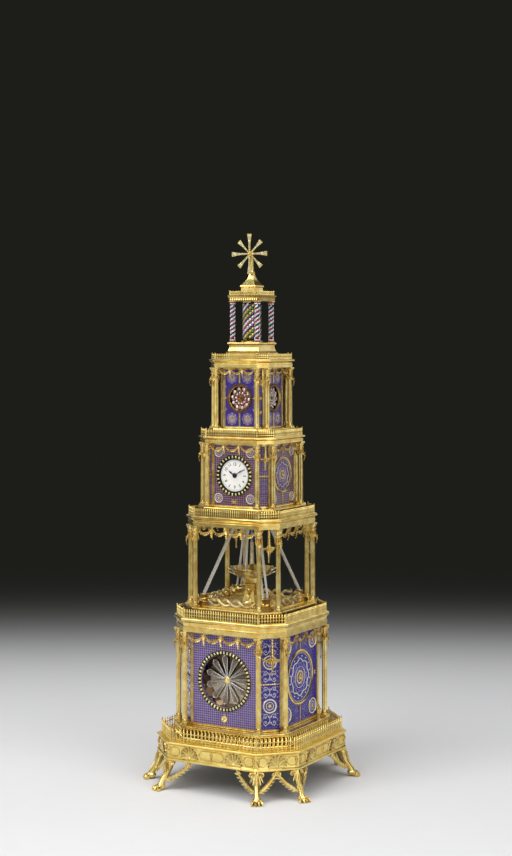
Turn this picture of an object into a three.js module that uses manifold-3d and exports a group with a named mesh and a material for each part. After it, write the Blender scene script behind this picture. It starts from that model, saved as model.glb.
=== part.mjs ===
// A five-storey automaton tower clock in gilt metal, enamel and glass.
// Millimetres, +Z up. The origin is on the floor under the tower's centre line, and the dial faces -Y.
import * as THREE from "three";
import { mergeVertices } from "three/addons/utils/BufferGeometryUtils.js";
import Module from "manifold-3d";

const wasm = await Module();
wasm.setup();

// Fits
const SEAT = 0.3; // gap between pieces that rest on each other
const RUNNING = 0.3; // radial gap round every arbor

// Legs and plinth. Face is the distance from the centre line to a broad side, half is half that side's
// length.
const LEG_HEIGHT = 57;
const LEG_SPLAY = 22;
const LEG_TOP_RADIUS = 8;
const LEG_ANKLE_RADIUS = 4.4;
const PAW_LENGTH = 24;
const PAW_WIDTH = 19;
const PAW_HEIGHT = 13;
const SCROLL_REACH = 42;
const SCROLL_SIZE = 5.5;
const PLINTH_FACE = 158;
const PLINTH_HALF = 98;
const PLINTH_HEIGHT = 35;
const PLINTH_GALLERY = 26;
const PLINTH_GALLERY_INSET = 5;

// Storeys, from the ground up: the ring of columns, the case inside it, and what it carries
const LOWER = {
  podium: 27, face: 120.6, half: 82.8, radius: 5.2, height: 183.5,
  caseFace: 108, caseHalf: 74.6, entablature: 26.5, gallery: 19, slots: 5, chamferSlots: 2,
};
const FOUNTAIN = {
  podium: 19, face: 99.4, half: 72, radius: 4.8, height: 159,
  entablature: 19, gallery: 17.5, slots: 4, chamferSlots: 1,
};
const CLOCK = {
  podium: 17.5, face: 79.8, half: 56.8, radius: 4.5, height: 126.5,
  caseFace: 69, caseHalf: 50, entablature: 12, gallery: 15.5, slots: 3, chamferSlots: 1,
};
const UPPER = {
  podium: 15.5, face: 61.2, half: 46.6, radius: 4.3, height: 120.5,
  caseFace: 48.7, caseHalf: 37, entablature: 16, gallery: 12, slots: 3, chamferSlots: 1,
};
const COLUMN_SIDES = 6;
const PODIUM_MARGIN = 8.5; // podium edge outside the column axes
const CORNICE_REACH = 8.5; // cornice edge outside the column axes
const SHEET = 4; // walls of podiums, cases and the plinth
const RAIL = 3; // thickness and height of the gallery rails

// Lantern and finial
const LANTERN_STEP = 14;
const LANTERN_PLINTH = 19;
const LANTERN_FACE = 37;
const LANTERN_COLUMN_PLACE = 28.2;
const LANTERN_COLUMN_RADIUS = 4.7;
const LANTERN_COLUMN_HEIGHT = 83;
const DRUM_RADIUS = 18.5;
const DRUM_HEIGHT = 76;
const DRUM_WALL = 3;
const DRUM_FACETS = 20;
const DRUM_BASE = 4;
const ROOF_CORNICE = 20;
const ROOF_DRUM = 10;
const ROOF_SPIRE = 26;
const ROOF_DRUM_FACE = 16;
const STEM_HEIGHT = 38;
const STEM_RADIUS = 4;
const STEM_TOP_RADIUS = 2.6;
const COLLAR_RADIUS = 6.5;
const FINIAL_ARM = 40;
const FINIAL_ARM_REAR = 36;
const FINIAL_ARMS = 4;
const FINIAL_ARM_ROOT = 3;
const FINIAL_ARM_TIP = 9.5;
const FINIAL_THICKNESS = 2.2;
const FINIAL_ARBOR_RADIUS = 1.2;

// Glass star in the lower window
const WINDOW_RADIUS = 51;
const WINDOW_BEZEL = 8.5;
const BEZEL_THICKNESS = 4;
const STAR_DEPTH = 12;
const STAR_RADIUS = 46;
const STAR_PETALS = 11;
const STAR_THICKNESS = 3.4;
const STAR_HUB = 7;
const STAR_ARBOR_RADIUS = 2.5;
const MIRROR_THICKNESS = 2.5;

// Automaton train: a spring barrel with a great wheel, and the spindle that it turns
const SPINDLE_RADIUS = 3;
const GREAT_MODULE = 2.8;
const GREAT_TEETH = 24;
const SPINDLE_TEETH = 6;
const GREAT_THICKNESS = 5;
const BARREL_RADIUS = 30;
const BARREL_LENGTH = 34;
const PLATE = 3;
const TRAIN_HEIGHT = 52; // between the plates
const TRAIN_LIFT = 8; // lower plate above the storey's floor
const TRAIN_REACH = 52; // from the middle of a plate to its side edges
const TRAIN_BACK = 22; // from the spindle to the plates' back edges
const PLATE_MARGIN = 10; // plate outside a barrel
const PILLAR_RADIUS = 4;
const PILLAR_PLACE = 7; // pillars inside the plates' edges
const COCK_WIDTH = 16;
const COCK_THICKNESS = 4;
const BRACKET_WIDTH = 36;
const BRACKET_DROP = 8;
const CROWN_TEETH = 18;
const CROWN_RADIUS = 20;
const CROWN_TOOTH = 2.6;
const CROWN_FACE = 5;
const STAR_TEETH = 6;

// Fountain
const PEDESTAL_HEIGHT = 50;
const PEDESTAL_RADIUS = 13;
const BASIN_RADIUS = 43;
const BASIN_HEIGHT = 20;
const BASIN_WALL = 2;
const BASIN_LOBES = 10;
const ROD_RADIUS = 2.4;
const ROD_TURNS = 1.5;
const ROD_STEPS = 8;
const ROD_PAIR_GAP = 9;
const CORNER_ROD_FOOT = 70;
const CORNER_ROD_HEAD = 24;
const ROD_STAND_HEIGHT = 22;
const ROD_STAND_RADIUS = 7;
const BASIN_RODS = 6;
const BASIN_ROD_FOOT = 26;
const BASIN_ROD_HEAD = 15;

// Dial, hands and going train
const DIAL_RADIUS = 31.5;
const DIAL_BEZEL = 9.5;
const DIAL_THICKNESS = 2;
const HOUR_HAND = 17;
const MINUTE_HAND = 27;
const HAND_THICKNESS = 0.9;
const CENTRE_ARBOR_RADIUS = 1.6;
const HOUR_PIPE_RADIUS = 3.1;
const CANNON_TEETH = 6;
const MINUTE_TEETH = 18;
const CANNON_MODULE = 1.3;
const MINUTE_PINION_TEETH = 6;
const HOUR_TEETH = 24;
const MOTION_WHEEL = 2;
const STUD_RADIUS = 1.2;
const GOING_MODULE = 1.7;
const GOING_TEETH = 24;
const CENTRE_TEETH = 6;
const GOING_BARREL_RADIUS = 17;
const GOING_DEPTH = 34; // between the plates
const GOING_REACH = 34; // from the centre arbor to the plates' side and top edges
const GOING_MARGIN = 12; // plate below the barrel
const GOING_PILLAR_PLACE = 5;
const GOING_FOOT = 8;
const GOING_WHEEL = 4;

// Whirling rosettes in the upper storey
const ROSETTE_RADIUS = 22;
const ROSETTE_DEPTH = 8;
const ROSETTE_THICKNESS = 1.8;
const ROSETTE_ARMS = 5;
const ROSETTE_HUB = 4.5;
const ROSETTE_ARM = 3.2;
const ROSETTE_TWIST = 1.1; // radians that an arm turns from hub to rim
const ROSETTE_ARBOR = 1.5;

// Doors
const DOOR_THICKNESS = 3;
const DOOR_MARGIN = 8.5; // jamb at each side of a door
const DOOR_SILL = 9;
const DOOR_LINTEL = 33;
const DOOR_GAP = 0.5;
const KNUCKLE_RADIUS = 1.4;
const DOOR_KNUCKLE = 14;

// Levels, worked out from the sizes above
const SQUARE_TURN = Math.PI / 2;
const MITRE = Math.SQRT2 - 1; // how far a broad side's end moves along it when all sides move out by 1
const plinthTop = LEG_HEIGHT + PLINTH_HEIGHT;
function stack(storey, below) {
  storey.base = below + SEAT;
  storey.floor = below + storey.podium;
  storey.head = storey.floor + storey.height;
  storey.cornice = storey.head + SEAT + storey.entablature;
  return storey.cornice;
}
const lanternBase = [LOWER, FOUNTAIN, CLOCK, UPPER].reduce((z, s) => stack(s, z), plinthTop);
const lanternFloor = lanternBase + LANTERN_STEP + LANTERN_PLINTH;
const roofBase = lanternFloor + LANTERN_COLUMN_HEIGHT + SEAT;
const spireTop = roofBase + ROOF_CORNICE + ROOF_DRUM + ROOF_SPIRE;
const finialHeight = spireTop + STEM_HEIGHT;

// Materials
const metal = (color, roughness) => new THREE.MeshStandardMaterial({ color, roughness, metalness: 1 });
const coat = (color, roughness) => new THREE.MeshStandardMaterial({ color, roughness, metalness: 0 });
const gilt = metal(0xd4a844, 0.3);
const brass = metal(0xb8923f, 0.38);
const steel = metal(0x5a6270, 0.3);
const silvered = metal(0xc9c6bf, 0.12);
const enamel = coat(0x2d2380, 0.22);
const dialEnamel = coat(0xf2efe6, 0.2);
const blued = metal(0x1d2130, 0.3);
const paste = coat(0xe8e4da, 0.06);
const glass = new THREE.MeshStandardMaterial({
  color: 0xe6edf0, roughness: 0.05, metalness: 0, transparent: true, opacity: 0.45,
});

// Solids
function solidOf(geometry) {
  const bare = new THREE.BufferGeometry();
  bare.setAttribute("position", geometry.getAttribute("position"));
  if (geometry.index) bare.setIndex(geometry.index);
  const merged = mergeVertices(bare, 1e-4);
  const corners = [];
  const index = merged.index.array;
  for (let i = 0; i < index.length; i += 3) {
    const [a, b, c] = index.slice(i, i + 3);
    if (a !== b && b !== c && c !== a) corners.push(a, b, c);
  }
  return new wasm.Manifold(
    new wasm.Mesh({
      numProp: 3,
      vertProperties: new Float32Array(merged.attributes.position.array),
      triVerts: new Uint32Array(corners),
    }),
  );
}
function geometryOf(solid) {
  const mesh = solid.getMesh();
  const geometry = new THREE.BufferGeometry();
  geometry.setAttribute("position", new THREE.BufferAttribute(mesh.vertProperties, 3));
  geometry.setIndex(new THREE.BufferAttribute(mesh.triVerts, 1));
  return geometry;
}
const join = (...pieces) => geometryOf(pieces.map(solidOf).reduce((a, b) => a.add(b)));
const cut = (body, ...tools) => geometryOf(
  tools.map(solidOf).reduce((a, b) => a.subtract(b), solidOf(body)),
);

// A closed solid through rings of points, each ring counter-clockwise about the way to the next.
function loft(rings) {
  const n = rings[0].length;
  const points = rings.flat();
  const faces = [];
  for (let k = 0; k + 1 < rings.length; k++) {
    for (let i = 0; i < n; i++) {
      const j = (i + 1) % n;
      const [a, b, c, d] = [k * n + i, k * n + j, (k + 1) * n + j, (k + 1) * n + i];
      faces.push(a, b, c, a, c, d);
    }
  }
  const last = (rings.length - 1) * n;
  for (let i = 1; i + 1 < n; i++) faces.push(0, i + 1, i, last, last + i, last + i + 1);
  return new THREE.BufferGeometry().setFromPoints(points).setIndex(faces);
}

// The tower's plan: four broad sides and four chamfers.
function plan(face, half, z) {
  const corners = [[-half, -face], [half, -face], [face, -half], [face, half]];
  const opposite = corners.map(([x, y]) => [-x, -y]);
  return [...corners, ...opposite].map(([x, y]) => new THREE.Vector3(x, y, z));
}
// A block on that plan, whose sides follow a moulding: pairs of offset and height.
const moulded = (face, half, profile) => loft(profile.map(([o, z]) => plan(face + o, half + o * MITRE, z)));
const squareRing = (face, z) => plan(face, face, z).filter((_, i) => i % 2 === 0);
const squareBlock = (profile) => loft(profile.map(([face, z]) => squareRing(face, z)));

const box = (x0, x1, y0, y1, z0, z1) =>
  new THREE.BoxGeometry(x1 - x0, y1 - y0, z1 - z0).translate((x0 + x1) / 2, (y0 + y1) / 2, (z0 + z1) / 2);
// A turned piece on the Z axis, from pairs of radius and height that run up from the axis and back to it.
const turned = (profile, sides) =>
  new THREE.LatheGeometry(profile.map(([r, z]) => new THREE.Vector2(r, z)), sides).rotateX(SQUARE_TURN);
const cylinder = (radius, z0, z1, sides) => turned([[0, z0], [radius, z0], [radius, z1], [0, z1]], sides);
const facingFront = (geometry) => geometry.rotateX(SQUARE_TURN); // turns +Z to -Y
const extruded = (shape, depth) => new THREE.ExtrudeGeometry(
  shape, { depth, bevelEnabled: false, curveSegments: 6 },
);
function outline(points, holes = []) {
  const shape = new THREE.Shape(points.map(([x, y]) => new THREE.Vector2(x, y)));
  shape.holes = holes.map((hole) => new THREE.Path(hole.map(([x, y]) => new THREE.Vector2(x, y))));
  return shape;
}
const polar = (radius, angle) => [radius * Math.cos(angle), radius * Math.sin(angle)];

// Spur wheel with straight-flanked teeth; a tooth points along +X.
function toothedShape(teeth, module, phase = 0) {
  const pitch = (2 * Math.PI) / teeth;
  const radius = (teeth * module) / 2;
  const root = radius - 1.15 * module;
  const tip = radius + 0.75 * module;
  const points = [];
  for (let i = 0; i < teeth; i++) {
    const middle = (i + phase) * pitch;
    points.push(polar(root, middle - 0.29 * pitch), polar(tip, middle - 0.1 * pitch));
    points.push(polar(tip, middle + 0.1 * pitch), polar(root, middle + 0.29 * pitch));
  }
  return outline(points);
}
const toothed = (teeth, module, thickness, phase) => extruded(
  toothedShape(teeth, module, phase), thickness,
);

const tower = new THREE.Group();
function add(name, geometry, material, turn = 0) {
  const mesh = new THREE.Mesh(geometry, material);
  mesh.name = name;
  mesh.rotation.z = turn;
  tower.add(mesh);
  return mesh;
}

// Plinth: a bottomless moulded box
function plinth() {
  const z = LEG_HEIGHT;
  const shell = moulded(PLINTH_FACE, PLINTH_HALF, [
    [2, z], [3, z + 4], [0, z + 6], [0, z + PLINTH_HEIGHT - 5],
    [3.5, z + PLINTH_HEIGHT - 2.5], [3.5, z + PLINTH_HEIGHT],
  ]);
  const hollow = moulded(PLINTH_FACE, PLINTH_HALF, [[-SHEET, z - 1], [-SHEET, plinthTop - SHEET]]);
  return cut(shell, hollow);
}

// A pierced gallery: a ring with its outer faces on a plan, cut by slots that go through opposite sides
function gallery(face, half, z, height, slots, chamferSlots) {
  const outer = moulded(face, half, [[0, z], [0, z + height]]);
  const inner = moulded(face, half, [[-RAIL, z - 1], [-RAIL, z + height + 1]]);
  const holes = [];
  const pierce = (length, count, turn) => {
    const bay = (length - 2 * RAIL) / count;
    const bar = bay * 0.25;
    for (let i = 0; i < count; i++) {
      const x = -length / 2 + RAIL + bay * i + bar / 2;
      const slot = box(x, x + bay - bar, -2 * face, 2 * face, z + RAIL, z + height - RAIL);
      holes.push(slot.rotateZ(turn * SQUARE_TURN));
    }
  };
  for (const turn of [0, 1]) {
    pierce(2 * half, slots, turn);
    pierce((face - half) * Math.SQRT2, chamferSlots, turn + 0.5);
  }
  return cut(outer, inner, ...holes);
}

// A pair of cabriole legs under one chamfer, with their scrolls. This one is under the front right chamfer.
function legPair() {
  const top = LEG_HEIGHT - SEAT;
  const seatInset = 8;
  const corners = [[PLINTH_HALF - seatInset * MITRE, -PLINTH_FACE + seatInset]];
  corners.push([-corners[0][1], -corners[0][0]]);
  const pieces = [];
  const middle = new THREE.Vector3(...corners[0], top - SCROLL_SIZE / 2);
  middle.add(new THREE.Vector3(...corners[1], top - SCROLL_SIZE / 2)).multiplyScalar(0.5);
  corners.forEach(([x, y], which) => {
    const out = new THREE.Vector3(x, y, 0).normalize();
    const across = new THREE.Vector3(-out.y, out.x, 0);
    const at = (
      s, z, side = 0,
    ) => new THREE.Vector3(x, y, z).addScaledVector(out, s).addScaledVector(across, side);
    const ring = (s, z, long, wide) =>
      Array.from({ length: 6 }, (_, i) => {
        const [u, v] = polar(1, (i * Math.PI) / 3);
        return at(s + long * u, z, wide * v);
      });
    const slim = LEG_ANKLE_RADIUS;
    const broad = LEG_TOP_RADIUS;
    const paw = LEG_SPLAY + PAW_LENGTH * 0.2;
    pieces.push(
      loft([
        ring(paw, 0, PAW_LENGTH * 0.5, PAW_WIDTH * 0.52),
        ring(paw, PAW_HEIGHT * 0.5, PAW_LENGTH * 0.52, PAW_WIDTH * 0.58),
        ring(LEG_SPLAY, PAW_HEIGHT, slim * 1.3, slim * 1.5),
        ring(LEG_SPLAY * 0.72, top * 0.4, slim, slim),
        ring(LEG_SPLAY * 0.2, top * 0.7, slim * 1.3, slim * 1.3),
        ring(0, top, broad, broad),
      ]),
    );
    const sideways = new THREE.Vector3(which === 0 ? -1 : 0, which === 0 ? 0 : 1, 0);
    const ends = [at(0, top - SCROLL_SIZE / 2).addScaledVector(sideways, SCROLL_REACH), middle];
    for (const end of ends) {
      const foot = at(LEG_SPLAY * 0.75, top * 0.3);
      const belly = end.clone().lerp(foot, 0.45).add(new THREE.Vector3(0, 0, -top * 0.12));
      const path = new THREE.QuadraticBezierCurve3(foot, belly, end);
      const half = SCROLL_SIZE / 2;
      const section = outline([[-half, -half], [half, -half], [half, half], [-half, half]]);
      pieces.push(new THREE.ExtrudeGeometry(section, { steps: 4, extrudePath: path, bevelEnabled: false }));
    }
  });
  const wide = 2 * PLINTH_FACE;
  return cut(join(...pieces), box(-wide, wide, -wide, wide, top, LEG_HEIGHT + PAW_HEIGHT));
}

// A turned column with its base and capital, standing at z = 0
function column(radius, height) {
  const spread = radius * 1.5;
  return turned(
    [
      [0, 0], [spread, 0], [spread, height * 0.025], [radius, height * 0.05],
      [radius * 0.88, height * 0.86],
      [spread, height * 0.965], [spread, height], [0, height],
    ],
    COLUMN_SIDES,
  );
}
// The podium of a storey with its eight columns, hollow below, and holed for the spindle
function colonnade(storey, extras = []) {
  const { base, floor, face, half, radius, height } = storey;
  const edge = PODIUM_MARGIN;
  const body = moulded(
    face, half, [[edge, base], [edge, floor - 3], [edge - 1.5, floor - 2], [edge - 1.5, floor]],
  );
  const hollow = moulded(face, half, [[edge - 2 * SHEET, base - 1], [edge - 2 * SHEET, floor - SHEET]]);
  const bore = cylinder(SPINDLE_RADIUS + RUNNING, base - 1, floor + 1, 8);
  const overlap = 0.5; // the columns are let into the podium
  const columns = plan(face, half, floor - overlap).map((p) =>
    column(radius, height + overlap).translate(p.x, p.y, p.z),
  );
  return join(cut(body, hollow, bore), ...columns, ...extras);
}
// The ceiling plate, cornice and pierced gallery over a storey; the next podium covers its hollow
function entablature(storey, podiumFace, podiumHalf) {
  const { face, half, head, entablature: height, gallery: rail, slots, chamferSlots } = storey;
  const z = head + SEAT;
  const levels = [
    [5, 0], [5, 0.38], [3.6, 0.42], [3.6, 0.55], [6, 0.72], [CORNICE_REACH, 0.8], [CORNICE_REACH, 1],
  ];
  const body = moulded(face, half, levels.map(([o, t]) => [o, z + t * height]));
  const edge = PODIUM_MARGIN - 3 * SHEET;
  const hollow = moulded(podiumFace, podiumHalf, [[edge, z + SHEET], [edge, z + height + 1]]);
  const bore = cylinder(SPINDLE_RADIUS + RUNNING, z - 1, z + height + 1, 8);
  const inset = 4;
  const sink = 0.5; // the gallery is let into the cornice
  const rails = gallery(
    face + inset, half + inset * MITRE, z + height - sink, rail + sink, slots, chamferSlots,
  );
  return join(cut(body, hollow, bore), rails);
}
// The upright walls of a case, with openings cut in them
function caseWalls(storey, wall, openings) {
  const { caseFace, caseHalf, floor, head } = storey;
  const outer = moulded(caseFace, caseHalf, [[0, floor + SEAT], [0, head]]);
  const inner = moulded(caseFace, caseHalf, [[-wall, floor], [-wall, head + 1]]);
  return cut(outer, inner, ...openings);
}

// A round hole in the front wall, and a ring to trim it
const frontHole = (radius, storey, depth, z, sides = 24) =>
  facingFront(cylinder(radius, storey.caseFace - depth, storey.caseFace + 1, sides)).translate(0, 0, z);
function bezel(inner, width, storey, z) {
  const back = storey.caseFace + SEAT;
  const outer = inner + width;
  const section = [
    [inner, back], [outer, back], [outer, back + BEZEL_THICKNESS * 0.5],
    [outer - width * 0.3, back + BEZEL_THICKNESS],
    [inner + width * 0.15, back + BEZEL_THICKNESS * 0.7], [inner, back],
  ];
  return facingFront(turned(section, 24)).translate(0, 0, z);
}

// A door in the back wall: its plate, and the hinge knuckle along its left edge as seen from the front
function doorSize(storey) {
  const width = storey.caseHalf - DOOR_MARGIN;
  return { width, sill: storey.floor + DOOR_SILL, lintel: storey.head - DOOR_LINTEL };
}
function doorway(storey) {
  const { width, sill, lintel } = doorSize(storey);
  return box(-width, width, storey.caseFace - 2 * SHEET, storey.caseFace + 1, sill, lintel);
}
function door(storey) {
  const { width, sill, lintel } = doorSize(storey);
  const face = storey.caseFace;
  const [z0, z1] = [sill + DOOR_GAP, lintel - DOOR_GAP];
  const plate = box(-width + DOOR_GAP, width - DOOR_GAP, face - SEAT - DOOR_THICKNESS, face - SEAT, z0, z1);
  const axis = face + KNUCKLE_RADIUS + 0.1;
  const pieces = [plate];
  for (const z of [z0 + DOOR_KNUCKLE, z1 - DOOR_KNUCKLE]) {
    const [low, high] = [z - DOOR_KNUCKLE / 2, z + DOOR_KNUCKLE / 2];
    pieces.push(cylinder(KNUCKLE_RADIUS, low, high, 10).translate(-width, axis, 0));
    pieces.push(box(-width + DOOR_GAP, -width + 7, face - 1, axis, low, high));
  }
  return join(...pieces);
}

// Plinth and legs
add("plinth_case", plinth(), gilt);
const galleryInset = PLINTH_GALLERY_INSET;
const plinthRail = [PLINTH_FACE - galleryInset, PLINTH_HALF - galleryInset * MITRE, plinthTop + SEAT];
add("plinth_gallery", gallery(...plinthRail, PLINTH_GALLERY, 6, 2), gilt);
const legs = legPair();
["front_right", "back_right", "back_left", "front_left"].forEach((corner, i) =>
  add("legs_" + corner, legs, gilt, i * SQUARE_TURN),
);

// Lower storey
const windowHeight = (LOWER.floor + LOWER.head) / 2;
add("lower_colonnade", colonnade(LOWER), gilt);
const windowHole = frontHole(WINDOW_RADIUS, LOWER, 2 * SHEET, windowHeight);
add("lower_case", caseWalls(LOWER, SHEET, [windowHole, doorway(LOWER)]), enamel);
add("lower_bezel", bezel(WINDOW_RADIUS, WINDOW_BEZEL, LOWER, windowHeight), gilt);
add("lower_door", door(LOWER), enamel);
add("lower_entablature", entablature(LOWER, FOUNTAIN.face, FOUNTAIN.half), gilt);

// Automaton train under the star's arbor
const trainFloor = LOWER.floor + SEAT;
const lowerPlate = LOWER.floor + TRAIN_LIFT;
const upperPlate = lowerPlate + PLATE + TRAIN_HEIGHT;
const barrelPlace = -((GREAT_TEETH + SPINDLE_TEETH) * GREAT_MODULE) / 2;
const starPlane = -(LOWER.caseFace - STAR_DEPTH); // middle of the star
const mirrorFront = starPlane + STAR_THICKNESS / 2 + 2;
const starPinionRadius = (CROWN_RADIUS * STAR_TEETH) / CROWN_TEETH;
const crownTop = windowHeight - starPinionRadius + CROWN_TOOTH * 0.45;
function automatonFrame() {
  const front = barrelPlace - BARREL_RADIUS - PLATE_MARGIN;
  const plateAt = (z) => box(-TRAIN_REACH, TRAIN_REACH, front, TRAIN_BACK, z, z + PLATE);
  const pieces = [plateAt(lowerPlate), plateAt(upperPlate)];
  for (const x of [-TRAIN_REACH + PILLAR_PLACE, TRAIN_REACH - PILLAR_PLACE]) {
    for (const y of [front + PILLAR_PLACE, TRAIN_BACK - PILLAR_PLACE]) {
      pieces.push(cylinder(PILLAR_RADIUS, trainFloor, upperPlate + 1, 6).translate(x, y, 0));
    }
  }
  // a cock on the upper plate holds the star's arbor, and a bracket holds the mirror
  const cockPlace = -(CROWN_RADIUS + CROWN_FACE + 6);
  const cockTop = windowHeight + STAR_ARBOR_RADIUS + COCK_WIDTH * 0.4;
  const cockFront = cockPlace - COCK_THICKNESS;
  pieces.push(box(-COCK_WIDTH / 2, COCK_WIDTH / 2, cockFront, cockPlace, upperPlate + 1, cockTop));
  const bracketFront = mirrorFront + MIRROR_THICKNESS + SEAT;
  const bracketFoot = upperPlate - BRACKET_DROP;
  const bracketHalf = BRACKET_WIDTH / 2;
  pieces.push(box(-bracketHalf, bracketHalf, bracketFront, front + 4, bracketFoot, upperPlate + PLATE));
  const bore = facingFront(cylinder(STAR_ARBOR_RADIUS + RUNNING, -cockPlace - 2, -cockPlace + 6, 8));
  const spindleBore = cylinder(SPINDLE_RADIUS + RUNNING, lowerPlate - 1, upperPlate + PLATE + 1, 8);
  const barrelBore = cylinder(SPINDLE_RADIUS + RUNNING, lowerPlate - 1, upperPlate + PLATE + 1, 8);
  return cut(
    join(...pieces), bore.translate(0, 0, windowHeight), spindleBore,
    barrelBore.translate(0, barrelPlace, 0),
  );
}
add("automaton_frame", automatonFrame(), brass);
function automatonBarrel() {
  const z = lowerPlate + PLATE + 1;
  const arbor = cylinder(SPINDLE_RADIUS, lowerPlate + 0.2, upperPlate + PLATE - 0.2, 8);
  const drum = cylinder(BARREL_RADIUS, z + GREAT_THICKNESS - 0.2, z + GREAT_THICKNESS + BARREL_LENGTH, 18);
  const wheel = toothed(GREAT_TEETH, GREAT_MODULE, GREAT_THICKNESS).rotateZ(SQUARE_TURN).translate(0, 0, z);
  return join(arbor, drum, wheel).translate(0, barrelPlace, 0);
}
add("automaton_barrel", automatonBarrel(), brass);
// The spindle rises through the whole tower and carries the jewelled drum at its head.
const drumFoot = lanternFloor + DRUM_BASE + SEAT;
function spindle() {
  const foot = LOWER.floor + SEAT;
  const shaft = cylinder(SPINDLE_RADIUS, foot, drumFoot + DRUM_HEIGHT - 2, 8);
  const z = lowerPlate + PLATE + 0.5;
  const pinion = toothed(
    SPINDLE_TEETH, GREAT_MODULE, GREAT_THICKNESS + 1, 0.5,
  ).rotateZ(-SQUARE_TURN).translate(0, 0, z);
  const inner = CROWN_RADIUS - CROWN_FACE / 2;
  const crown = cylinder(
    CROWN_RADIUS + CROWN_FACE / 2, crownTop - CROWN_TOOTH - 3, crownTop - CROWN_TOOTH, 18,
  );
  const pitch = (2 * Math.PI) / CROWN_TEETH;
  const teeth = Array.from({ length: CROWN_TEETH }, (_, i) => {
    const half = 0.15 * pitch * CROWN_RADIUS;
    const tooth = box(inner, inner + CROWN_FACE - 0.3, -half, half, crownTop - CROWN_TOOTH - 0.5, crownTop);
    return tooth.rotateZ(i * pitch - SQUARE_TURN);
  });
  return join(shaft, pinion, crown, ...teeth);
}
add("drive_spindle", spindle(), steel);

// Glass star: petals of paired rods round a hub, on an arbor that the spindle's crown wheel turns
function glassStar() {
  const petal = (angle) => {
    const leaf = (root, tip, width, inset) => {
      const middle = (root + tip) / 2;
      return [
        [root, 0], [middle, -width * 0.62 + inset], [tip - 4, -width + inset], [tip, 0],
        [tip - 4, width - inset], [middle, width * 0.62 - inset],
      ].filter((_, i) => inset === 0 || i % 2 === 0);
    };
    const shape = outline(
      leaf(STAR_HUB - 2, STAR_RADIUS, 7.5, 0), [leaf(STAR_HUB + 8, STAR_RADIUS - 3, 7.5, 2.6).reverse()],
    );
    return extruded(shape, STAR_THICKNESS).rotateZ(angle).translate(0, 0, -starPlane - STAR_THICKNESS / 2);
  };
  const pieces = Array.from({ length: STAR_PETALS }, (_, i) => petal((2 * Math.PI * i) / STAR_PETALS));
  const hub = -starPlane - STAR_THICKNESS / 2;
  pieces.push(
    turned(
      [[0, hub - 1], [STAR_HUB, hub - 1], [STAR_HUB, hub + 4], [STAR_HUB * 0.6, hub + 7], [0, hub + 7]], 11,
    ),
  );
  const cockPlace = CROWN_RADIUS + CROWN_FACE + 6;
  pieces.push(cylinder(STAR_ARBOR_RADIUS, CROWN_RADIUS - CROWN_FACE / 2, hub, 8));
  const module = (2 * CROWN_RADIUS) / CROWN_TEETH;
  pieces.push(
    toothed(
      STAR_TEETH, module * 0.9, CROWN_FACE - 0.6, 0.5,
    ).rotateZ(-SQUARE_TURN).translate(0, 0, CROWN_RADIUS - CROWN_FACE / 2 + 0.3),
  );
  pieces.push(cylinder(STAR_ARBOR_RADIUS + 2, cockPlace + 4 + SEAT, cockPlace + 7, 8));
  return facingFront(join(...pieces)).translate(0, 0, windowHeight);
}
add("glass_star", glassStar(), glass);
function starMirror() {
  const back = -(mirrorFront + MIRROR_THICKNESS);
  const disc = cylinder(WINDOW_RADIUS + 3, back, back + MIRROR_THICKNESS, 24);
  const rim = turned(
    [
      [WINDOW_RADIUS, back], [WINDOW_RADIUS + 3, back], [WINDOW_RADIUS + 3, LOWER.caseFace - SHEET - SEAT],
      [WINDOW_RADIUS, LOWER.caseFace - SHEET - SEAT], [WINDOW_RADIUS, back],
    ],
    24,
  );
  return facingFront(
    cut(join(disc, rim), cylinder(STAR_ARBOR_RADIUS + RUNNING, back - 1, back + 4, 8)),
  ).translate(0, 0, windowHeight);
}
add("star_mirror", starMirror(), silvered);

// Fountain storey
const ceiling = FOUNTAIN.head + SEAT;
const rodStandTop = FOUNTAIN.floor + ROD_STAND_HEIGHT;
function rodStands() {
  const stands = [];
  for (let corner = 0; corner < 4; corner++) {
    const spread = ROD_PAIR_GAP / 2 + ROD_STAND_RADIUS;
    const foot = FOUNTAIN.floor - 0.5;
    const ring = (grow, z) => [
      [-spread, -ROD_STAND_RADIUS], [spread, -ROD_STAND_RADIUS], [spread, ROD_STAND_RADIUS],
      [-spread, ROD_STAND_RADIUS],
    ].map(([x, y]) => new THREE.Vector3(x * grow, y * grow, z));
    const stand = loft(
      [ring(1.35, foot), ring(0.75, foot + ROD_STAND_HEIGHT * 0.5), ring(0.9, rodStandTop)],
    );
    stand.rotateZ(SQUARE_TURN / 2).translate(CORNER_ROD_FOOT, -CORNER_ROD_FOOT, 0);
    stands.push(stand.rotateZ(corner * SQUARE_TURN));
  }
  return stands;
}
add("fountain_colonnade", colonnade(FOUNTAIN, rodStands()), gilt);
function pedestal() {
  const z = FOUNTAIN.floor + SEAT;
  const r = PEDESTAL_RADIUS;
  const body = turned(
    [
      [0, z], [r * 1.3, z], [r * 1.3, z + 4], [r, z + 7], [r * 0.72, z + PEDESTAL_HEIGHT * 0.55],
      [r * 0.95, z + PEDESTAL_HEIGHT * 0.8], [r * 0.6, z + PEDESTAL_HEIGHT - SEAT],
      [0, z + PEDESTAL_HEIGHT - SEAT],
    ],
    12,
  );
  return cut(body, cylinder(SPINDLE_RADIUS + RUNNING, z - 1, z + PEDESTAL_HEIGHT, 12));
}
add("fountain_pedestal", pedestal(), gilt);
const basinFoot = FOUNTAIN.floor + SEAT + PEDESTAL_HEIGHT;
const basinFloor = basinFoot + BASIN_HEIGHT * 0.3;
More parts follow.
